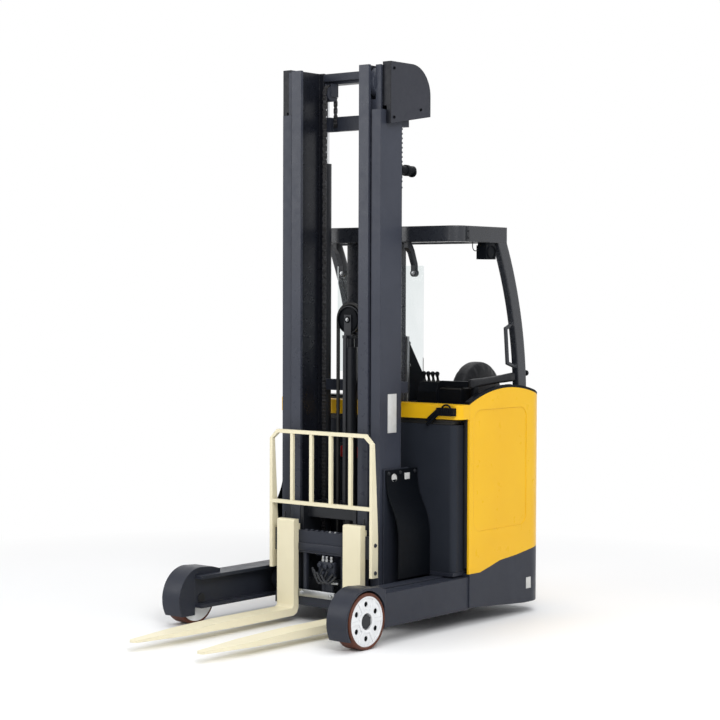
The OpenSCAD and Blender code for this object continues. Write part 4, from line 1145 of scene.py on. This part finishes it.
@dataclass
class MastFittings:
    """Sign strip, screws, lamp disc and clipped cable of the mast, and the crosshead sheave's discs.

    Attributes:
        sign: Y and Z of the blank sign strip's lower front and upper rear corner.
        rim: Radius and depth of the disc on the lamp's face.
        cable: Radius of the lamp's cable.
        runs: Length of the cable above and below the lamp.
        clip: Half width, height and half length of a cable clip.
        clip_step: Distance between clips.
        screws: Y and Z of the covers' screws.
        sheave: Middle of the crosshead sheave's front face.
        yoke: Thickness of the yoke plate in front of the sheave.
    """

    sign: tuple[Span, Span] = ((0.118, 1.035), (0.192, 1.240))
    rim: Span = (0.027, 0.012)
    cable: float = 0.0045
    runs: Span = (0.196, 0.066)
    clip: Point = (0.007, 0.0115, 0.005)
    clip_step: float = 0.024
    screws: tuple[Span, ...] = ((0.120, 2.690), (0.120, 2.945), (0.350, 2.745))
    sheave: Point = (0.030, 0.1675, 1.628)
    yoke: float = 0.008

    def build(self) -> None:
        """Make the fittings of the fixed and the moving stages."""
        self._sign()
        self._lamp()
        self._covers()
        self._sheave()

    def _sign(self) -> None:
        """A blank white sign strip on the left outer upright."""
        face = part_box("outer_mast")[1].x
        (y0, z0), (y1, z1) = self.sign
        strip = Bench.box((face, y0, z0), (face + 0.003, y1, z1), 0.001)
        hand_over([Bench.dish(strip, LEFT, 0.006, -0.0006)], "blank_sign_strip", SIGN, "reach_body")

    def _lamp(self) -> None:
        """A disc on the mast lamp's face, and its cable held by clips on the rear flange."""
        low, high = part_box("mast_lamp")
        radius, depth = self.rim
        foot = ((low.x + high.x) / 2, high.y - depth, (low.z + high.z) / 2)
        rim = Bench.disc(foot, BACK, radius, depth, 0.002)
        hand_over([Bench.dish(rim, BACK, 0.005, -0.004)], "mast_lamp_bezel", PLASTIC, "reach_body")
        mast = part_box("outer_mast")[1]
        x, rear = mast.x - 0.010, mast.y
        half, tall, reach = self.clip
        cables, clips = [], []
        for start, end in ((high.z, high.z + self.runs[0]), (low.z - self.runs[1], low.z)):
            points = [(x, rear + self.cable + 0.001, start + (end - start) * i / 12) for i in range(13)]
            cables.append(Bench.tube(points, self.cable))
            count = max(2, int((end - start) / self.clip_step))
            for i in range(count):
                z = start + (end - start) * (i + 0.5) / count
                low_corner, high_corner = (x - half, rear, z - reach), (x + half, rear + tall, z + reach)
                clips.append(Bench.box(low_corner, high_corner, 0.002))
        hand_over(cables, "mast_lamp_cable", HOSE, "reach_body")
        hand_over(clips, "mast_cable_clips", PLASTIC, "reach_body")

    def _covers(self) -> None:
        """Screws of the mast head covers."""
        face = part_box("mast_covers")[1].x
        made = []
        for y, z in self.screws:
            screw = Bench.disc((face, y, z), LEFT, 0.008, 0.003, 0.001, 24)
            made.append(Bench.dish(screw, LEFT, 0.0035, -0.0015))
        hand_over(made, "cover_screws", PLASTIC, "middle_stage", both=True)

    def _sheave(self) -> None:
        """A disc, the boss and the axle bolt on the crosshead's sheave."""
        middle = Vector(self.sheave)
        ring = Bench.dish(Bench.disc(middle, AHEAD, 0.070, 0.003, 0.001, 48), AHEAD, 0.008, -0.0025)
        cheek = middle - Vector((0.0, self.yoke, 0.0))
        boss = Bench.disc(cheek, AHEAD, 0.018, 0.004, 0.001)
        hand_over([ring, boss], "sheave_rings", PLASTIC, "crosshead_body")
        bolt = Bench.bolt(cheek - Vector((0.0, 0.004, 0.0)), AHEAD, 0.009)
        hand_over([bolt], "sheave_axle_bolt", STEEL, "crosshead_body")


@dataclass
class CarriageFittings:
    """Plates, bolts, pins and pipes of the reach carriage, forks and backrest.

    Attributes:
        bolt: Thread size of the bolts.
        shield: How far a side shield stands out from the mast.
        shield_bolts: Y of a shield's bolts.
        backrest_bolts: Z of a backrest post's bolts.
        pin: Place of a fork's lock pin beside the fork's middle, and its Y.
        block_x: Sides of the valve block.
        block_z: Foot and top of the valve block.
        valves: X and Z of the round valves on its front.
        ends: X of the pipe ends on its top.
        pipe: Radius of the bent pipes.
        pipes: X of a pipe's start and end, and its sag.
        tie_bolts: X of the tie bar's bolts.
        teeth: X of the upper bar's teeth.
        stops: X of the upper bar's stop screws.
    """

    bolt: float = 0.012
    shield: float = 0.020
    shield_bolts: Point = (0.105, 0.205, 0.330)
    backrest_bolts: Span = (0.310, 0.455)
    pin: Span = (0.045, 0.002)
    block_x: Span = (-0.030, 0.080)
    block_z: Span = (0.262, 0.338)
    valves: tuple[Span, ...] = ((-0.014, 0.320), (0.026, 0.314), (0.062, 0.320), (0.006, 0.278))
    ends: Point = (-0.004, 0.022, 0.054)
    pipe: float = 0.007
    pipes: tuple[Point, ...] = ((-0.062, 0.010, 0.052), (-0.046, 0.048, 0.066),
                                (-0.020, 0.090, 0.050), (0.016, 0.118, 0.040))
    tie_bolts: Span = (-0.140, 0.066)
    teeth: tuple[float, ...] = (-0.128, -0.092, -0.056, -0.020, 0.016, 0.052, 0.088, 0.118)
    stops: Span = (0.044, 0.080)

    def build(self) -> None:
        """Make the fittings."""
        self._shields()
        self._backrest()
        self._fork_pins()
        self._manifold()
        self._tie_bar()
        self._bar_teeth()

    def _shields(self) -> None:
        """Two small blank plates on the left side shield, and the bolts at the top of both."""
        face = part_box("outer_mast")[1].x + self.shield
        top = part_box("reach_shields")[1].z
        disc = Bench.disc((face, 0.150, top - 0.042), LEFT, 0.022, 0.002, 0.0006)
        Bench.dish(disc, LEFT, 0.003, -0.0005)
        plate = Bench.box((face, 0.240, top - 0.062), (face + 0.002, 0.285, top - 0.022), 0.0006)
        Bench.dish(plate, LEFT, 0.003, -0.0005)
        hand_over([disc, plate], "blank_shield_plates", SIGN, "reach_body")
        bolts = Bench.bolts([(face, y, top - 0.016) for y in self.shield_bolts], LEFT, self.bolt * 0.75)
        hand_over(bolts, "shield_bolts", BLACK, "reach_body", both=True)

    def _backrest(self) -> None:
        """Bolts that hold the backrest's posts."""
        low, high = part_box("load_backrest")
        places = [(high.x, (low.y + high.y) / 2, z) for z in self.backrest_bolts]
        hand_over(Bench.bolts(places, LEFT, self.bolt * 0.8), "backrest_bolts", DARK, "fork_body", both=True)

    def _fork_pins(self) -> None:
        """A stepped lock pin on top of each fork's hook."""
        low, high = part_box("fork_left")
        x, y = (low.x + high.x) / 2 + self.pin[0], self.pin[1]
        pins = [Bench.disc((x, y, high.z), UP, 0.008, 0.012, 0.002),
                Bench.disc((x, y, high.z + 0.012), UP, 0.005, 0.022, 0.001)]
        hand_over(pins, "fork_lock_pins", BLACK, "fork_body", both=True)

    def _manifold(self) -> None:
        """A valve block with pipe ends and bent pipes, under the fork frame's bar."""
        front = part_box("fork_frame")[0].y
        low, top = self.block_z
        block = [Bench.box((self.block_x[0], front, low), (self.block_x[1], front + 0.022, top), 0.003),
                 Bench.box((-0.012, front + 0.008, 0.150), (0.062, front + 0.022, low), 0.002)]
        block += [Bench.disc((x, front, z), AHEAD, 0.013, 0.016, 0.002, 24) for x, z in self.valves]
        hand_over(block, "tilt_valve_block", DARK, "fork_body")
        ends, pipes = [], []
        for x in self.ends:
            ends.append(Bench.disc((x, front + 0.010, top), UP, 0.0115, 0.012, 0.001, 6))
            ends.append(Bench.disc((x, front + 0.010, top + 0.012), UP, 0.0085, 0.018, 0.001))
        waves = [(i / 20, math.sin(math.pi * i / 20)) for i in range(21)]
        for i, (start, finish, sag) in enumerate(self.pipes):
            y, z = front - 0.010 - 0.007 * i, low + 0.040 - 0.010 * i
            path = [(start + (finish - start) * t, y - 0.008 * wave, z - sag * wave) for t, wave in waves]
            pipes.append(Bench.tube(path, self.pipe))
        hand_over(ends, "valve_block_ends", STEEL, "fork_body")
        hand_over(pipes, "valve_block_pipes", BLACK, "fork_body")

    def _tie_bar(self) -> None:
        """The tie bar and bracket below the valve block, and the ledge on the fork frame's bar."""
        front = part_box("fork_frame")[0].y
        bar = [Bench.box((-0.165, front - 0.012, 0.140), (0.092, front, 0.180), 0.004),
               Bench.box((-0.020, front - 0.020, 0.226), (0.120, front - 0.008, 0.238), 0.003)]
        bar += Bench.bolts([(x, front - 0.012, 0.158) for x in self.tie_bolts], AHEAD, self.bolt)
        hand_over(bar, "tilt_tie_bar", STEEL, "fork_body")
        ledge = Bench.box((-0.166, front - 0.007, 0.388), (0.166, front, 0.430), 0.003)
        hand_over([Bench.dish(ledge, AHEAD, 0.004, 0.001)], "bar_ledge", DARK, "fork_body")

    def _bar_teeth(self) -> None:
        """Notch teeth and two stop screws on the upper fork bar, between the forks."""
        low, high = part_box("fork_frame")
        teeth = [Bench.box((x, low.y + 0.001, high.z), (x + 0.020, low.y + 0.018, high.z + 0.007), 0.002)
                 for x in self.teeth]
        hand_over(teeth, "bar_teeth", DARK, "fork_body")
        screws = Bench.bolts([(x, low.y + 0.010, high.z) for x in self.stops], UP, 0.009)
        hand_over(screws, "bar_stop_screws", STEEL, "fork_body")


@dataclass
class CabFittings:
    """Controls, lamp shoe and fixings of the driver's place and its guard.

    Attributes:
        knob: Radius of a lever knob.
        lever: Top of the first lever.
        lever_step: Distance between levers.
        levers: Number of levers.
        gaiter_z: Foot of the levers' gaiters.
        lamp_z: Height of the work lamp's middle.
        wire: Radius of the work lamp's wire.
        wire_z: Height where the wire leaves the lamp.
        wire_out: How far the wire runs out before it bends.
        bend: Radius of the wire's bend.
        strap: Front and rear edge of a roof strap.
        nuts: X and Z of the nuts on the screen's lower brackets.
        button: X of the dash buttons.
        stop: X and Y of the stop button.
        mat: Lowest and highest corner of the console's mat.
        pillar_knob: Y and Z of the knob behind the rear pillar.
    """

    knob: float = 0.013
    lever: Point = (0.270, 0.5255, 1.3295)
    lever_step: float = 0.030
    levers: int = 4
    gaiter_z: float = 1.2885
    lamp_z: float = 1.993
    wire: float = 0.0025
    wire_z: float = 2.000
    wire_out: float = 0.032
    bend: float = 0.026
    strap: Span = (0.452, 0.482)
    nuts: tuple[Span, ...] = ((0.200, 1.38), (0.200, 1.50))
    button: tuple[float, ...] = (-0.390, -0.350, -0.310, -0.270)
    stop: Span = (-0.500, 0.560)
    mat: tuple[Point, Point] = ((0.384, 0.515, 1.2515), (0.526, 0.646, 1.2625))
    pillar_knob: Span = (1.020, 1.330)

    def build(self) -> None:
        """Make the fittings."""
        self._levers()
        self._lamp()
        self._guard()
        self._screen()
        self._dash()
        self._console()

    def _levers(self) -> None:
        """Pear-shaped knobs and ribbed gaiters of the hydraulic levers."""
        first, y, top = self.lever
        middle = top + 0.006
        knobs, gaiters = [], []
        for x in (first + self.lever_step * i for i in range(self.levers)):
            Bench.clear()
            bpy.ops.mesh.primitive_uv_sphere_add(segments=24, ring_count=16, radius=self.knob,
                                                 location=(x, y, middle))
            knob = Bench.settle(bpy.context.object)
            for corner in knob.data.vertices:
                drop = max(0.0, (middle - corner.co.z) / self.knob)
                corner.co.x = x + (corner.co.x - x) * (1.0 - 0.35 * drop)
                corner.co.y = y + (corner.co.y - y) * (1.0 - 0.35 * drop)
                corner.co.z -= 0.010 * drop
            knobs.append(knob)
            for step in range(3):
                foot = (x, y + 0.006, self.gaiter_z + 0.006 * step)
                gaiters.append(Bench.disc(foot, (0.0, -0.2, 1.0), 0.013 - 0.0025 * step, 0.006, 0.002, 24))
        hand_over(knobs, "lever_knobs", PLASTIC, "chassis")
        hand_over(gaiters, "lever_gaiters", HOSE, "chassis")

    def _lamp(self) -> None:
        """A disc on the work lamp's face, the shoe that holds the lamp, and its short wire to the roof."""
        low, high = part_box("work_lamp")
        foot = (high.x - 0.003, (low.y + high.y) / 2, self.lamp_z)
        rim = Bench.disc(foot, LEFT, 0.036, 0.0035, 0.001, 48)
        hand_over([Bench.dish(rim, LEFT, 0.005, -0.0015)], "work_lamp_bezel", PLASTIC, "chassis")
        shoe = [Bench.box((low.x + 0.004, low.y + 0.004, high.z - 0.018),
                          (high.x - 0.004, high.y - 0.006, high.z), 0.003),
                Bench.box((high.x - 0.010, low.y + 0.020, high.z - 0.050),
                          (high.x - 0.001, high.y - 0.020, high.z), 0.003)]
        hand_over(shoe, "work_lamp_shoe", PLASTIC, "chassis")
        x, y, z, bend = low.x + 0.0155, low.y - self.wire_out, self.wire_z, self.bend
        path = [(x, low.y - self.wire_out * i / 5, z) for i in range(5)]
        turns = [math.pi / 2 * i / 9 for i in range(10)]
        path += [(x, y - bend * math.sin(turn), z + bend - bend * math.cos(turn)) for turn in turns]
        path += [(x, y - bend, z + bend + (high.z - z - bend) * i / 3) for i in range(1, 4)]
        wire = hand_over([Bench.line(path, self.wire)], "work_lamp_wire", HOSE, "chassis")

    def _guard(self) -> None:
        """Bolted joint straps of the guard's roof."""
        low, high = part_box("guard_roof")
        face, (front, rear) = high.x + 0.004, self.strap
        strap = Bench.box((high.x - 0.0005, front, low.z + 0.004), (face, rear, high.z - 0.006), 0.001)
        places = [(face, (front + rear) / 2, z) for z in (low.z + 0.022, high.z - 0.026)]
        bolts = Bench.bolts(places, LEFT, 0.008)
        hand_over([strap], "roof_joint_straps", BLACK, "chassis", both=True)
        hand_over(bolts, "roof_joint_bolts", BLACK, "chassis", both=True)

    def _screen(self) -> None:
        """Bolts of the screen's arms, and the nuts behind them and on the lower brackets."""
        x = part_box("screen_arms")[1].x - 0.020
        low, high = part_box("screen")
        eye = high.z - 0.040
        bolts = Bench.bolts([(x, low.y - 0.026, eye)], AHEAD, 0.010)
        hand_over(bolts, "screen_arm_bolts", STEEL, "chassis", both=True)
        nuts = Bench.bolts([(side, high.y, z) for side, z in ((x, eye), *self.nuts)], BACK, 0.010)
        hand_over(nuts, "screen_nuts", STEEL, "chassis", both=True)

    def _dash(self) -> None:
        """A blank display, a row of buttons and a stop button on the dash."""
        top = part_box("cowl")[1].z
        display = Bench.box((-0.400, 0.500, top), (-0.230, 0.610, top + 0.022), 0.005, 3)
        hand_over([Bench.dish(display, UP, 0.010, -0.002)], "blank_display", GLOSS, "chassis")
        buttons = [Bench.disc((x, 0.645, top), UP, 0.010, 0.008, 0.002, 24) for x in self.button]
        hand_over(buttons, "dash_buttons", PLASTIC, "chassis")
        stop = [Bench.disc((*self.stop, top), UP, 0.016, 0.014, 0.002),
                Bench.disc((*self.stop, top + 0.014), UP, 0.021, 0.012, 0.004)]
        hand_over(stop, "stop_button", RED, "chassis")

    def _console(self) -> None:
        """A ribbed rubber mat on the console beside the levers, and the knob behind the rear pillar."""
        low, high = Vector(self.mat[0]), Vector(self.mat[1])
        mat = [Bench.box(low, high, 0.004, 3)]
        for y in (low.y + 0.014 + 0.020 * i for i in range(6)):
            mat.append(Bench.box((low.x + 0.010, y, high.z - 0.001),
                                 (high.x - 0.010, y + 0.009, high.z + 0.003), 0.0015))
        hand_over(mat, "console_mat", HOSE, "chassis")
        y, z = self.pillar_knob
        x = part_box("guard_pillars")[1].x - 0.020
        knob = [Bench.disc((x, y, z), BACK, 0.008, 0.026, 0.001),
                Bench.disc((x, y + 0.024, z), BACK, 0.016, 0.020, 0.005)]
        hand_over(knob, "pillar_knob", PLASTIC, "chassis")


@dataclass
class BodyFittings:
    """Plates, seals and small fittings of the chassis, battery, panels and load wheels.

    Attributes:
        skirt: Y and Z of the skirt plate's lower front and upper rear corner.
        plate: Thickness of the skirt plate.
        caps: X of the red release caps.
        caps_z: Foot and top of the caps.
        edge: X of the side panel's edge seal.
        plug: Width of the battery plug's body.
        holes: Number of holes in a load wheel's hub.
        hole: Radius of a hole's dark disc.
        hole_ring: Radius of the ring of holes.
        hole_depth: Depth of a hole's dark disc below the hub's face.
        shade_plug: Height of a dark disc that paints the shade in a hole.
    """

    skirt: tuple[Span, Span] = ((0.992, 0.138), (1.038, 0.200))
    plate: float = 0.0015
    caps: Span = (-0.167, -0.050)
    caps_z: Span = (0.866, 0.928)
    edge: Span = (0.600, 0.619)
    plug: float = 0.110
    holes: int = 6
    hole: float = 0.0134
    hole_ring: float = 0.0860
    hole_depth: float = 0.010
    shade_plug: float = 0.004

    def build(self) -> None:
        """Make the fittings."""
        self._skirt()
        self._battery()
        self._hub_holes()
        self._seals()
        self._plug()

    def _skirt(self) -> None:
        """A small blank plate at the rear left corner of the skirt."""
        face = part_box("chassis_skirt")[1].x
        (y0, z0), (y1, z1) = self.skirt
        tag = Bench.box((face, y0, z0), (face + self.plate, y1, z1), 0.0005)
        hand_over([Bench.dish(tag, LEFT, 0.004, -0.0005)], "blank_skirt_plate", SIGN, "chassis")

    def _battery(self) -> None:
        """Two red release caps on the battery's front, and their plate."""
        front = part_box("battery")[0].y
        foot, top = self.caps_z
        caps = [Bench.box((x - 0.011, front - 0.014, foot), (x + 0.011, front, top), 0.006, 3)
                for x in self.caps]
        hand_over(caps, "release_caps", RED, "chassis")
        plate = Bench.box((-0.200, front - 0.006, 0.845), (-0.015, front, 0.945), 0.002)
        hand_over([plate], "release_cap_plate", BLACK, "chassis")

    def _seals(self) -> None:
        """Rubber seals: between the battery's top and the cowl, and along the side panel's front edge."""
        low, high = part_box("battery")
        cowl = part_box("cowl")[0].z
        seal = [Bench.box((low.x + 0.030, low.y + 0.008, high.z),
                          (high.x - 0.012, low.y + 0.075, cowl - 0.004), 0.004, 3),
                Bench.box((low.x + 0.034, low.y + 0.003, high.z),
                          (high.x - 0.016, low.y + 0.012, high.z + 0.012), 0.003)]
        hand_over(seal, "battery_seal", HOSE, "chassis")
        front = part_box("side_panel")[0].y
        strip = Bench.box((self.edge[0], front - 0.006, 0.310), (self.edge[1], front, cowl - 0.002), 0.002)
        hand_over([Bench.dish(strip, AHEAD, 0.005, -0.002)], "panel_edge_seal", HOSE, "chassis")

    def _plug(self) -> None:
        """Grip ribs and the pull handle of the battery plug."""
        low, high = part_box("battery_plug")
        left, front, top = high.x - self.plug, low.y, high.z
        ribs = [left + 0.018 + 0.014 * i for i in range(6)]
        grip = [Bench.box((x, front - 0.004, top - 0.038), (x + 0.007, front + 0.002, top - 0.004), 0.0015)
                for x in ribs]
        waves = [(i / 16, math.sin(math.pi * i / 16) ** 0.6) for i in range(17)]
        arch = [(left + 0.030 + 0.056 * t, front + 0.012, top - 0.002 + 0.018 * wave) for t, wave in waves]
        grip.append(Bench.tube(arch, 0.005))
        hand_over(grip, "plug_grip", PLASTIC, "chassis")

    def _hub_holes(self) -> None:
        """Dark discs sunk in the holes of each load wheel's hub: painted shade in the holes."""
        for side, wheel in ((1.0, "left"), (-1.0, "right")):
            low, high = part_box(f"load_hub_{wheel}")
            foot = (high.x if side > 0 else low.x) - side * (self.hole_depth + self.shade_plug)
            y, z = (low.y + high.y) / 2, (low.z + high.z) / 2
            way = (side, 0.0, 0.0)
            shade_plugs = []
            for angle in (math.tau * i / self.holes for i in range(self.holes)):
                place = (foot, y + self.hole_ring * math.sin(angle), z + self.hole_ring * math.cos(angle))
                # Dark discs sunk in the holes: painted shade.
                shade_plug = Bench.disc(place, way, self.hole, self.shade_plug, 0.0006, 24)
                shade_plugs.append(Bench.dish(shade_plug, way, 0.002, -0.002))
            hand_over(shade_plugs, f"wheel_{wheel}_hole_shade_plugs", PLASTIC, f"wheel_{wheel}")


def main() -> None:
    """Build the truck's looks in order."""
    logging.basicConfig(level=logging.INFO, format="%(message)s")
    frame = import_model()
    Studio().build()
    CadDress(frame).build()
    for assembly in (CabFittings(), Pads(), LiftChains(), MastFittings(), CarriageFittings(), BodyFittings()):
        assembly.build()


if __name__ == "__main__":
    main()
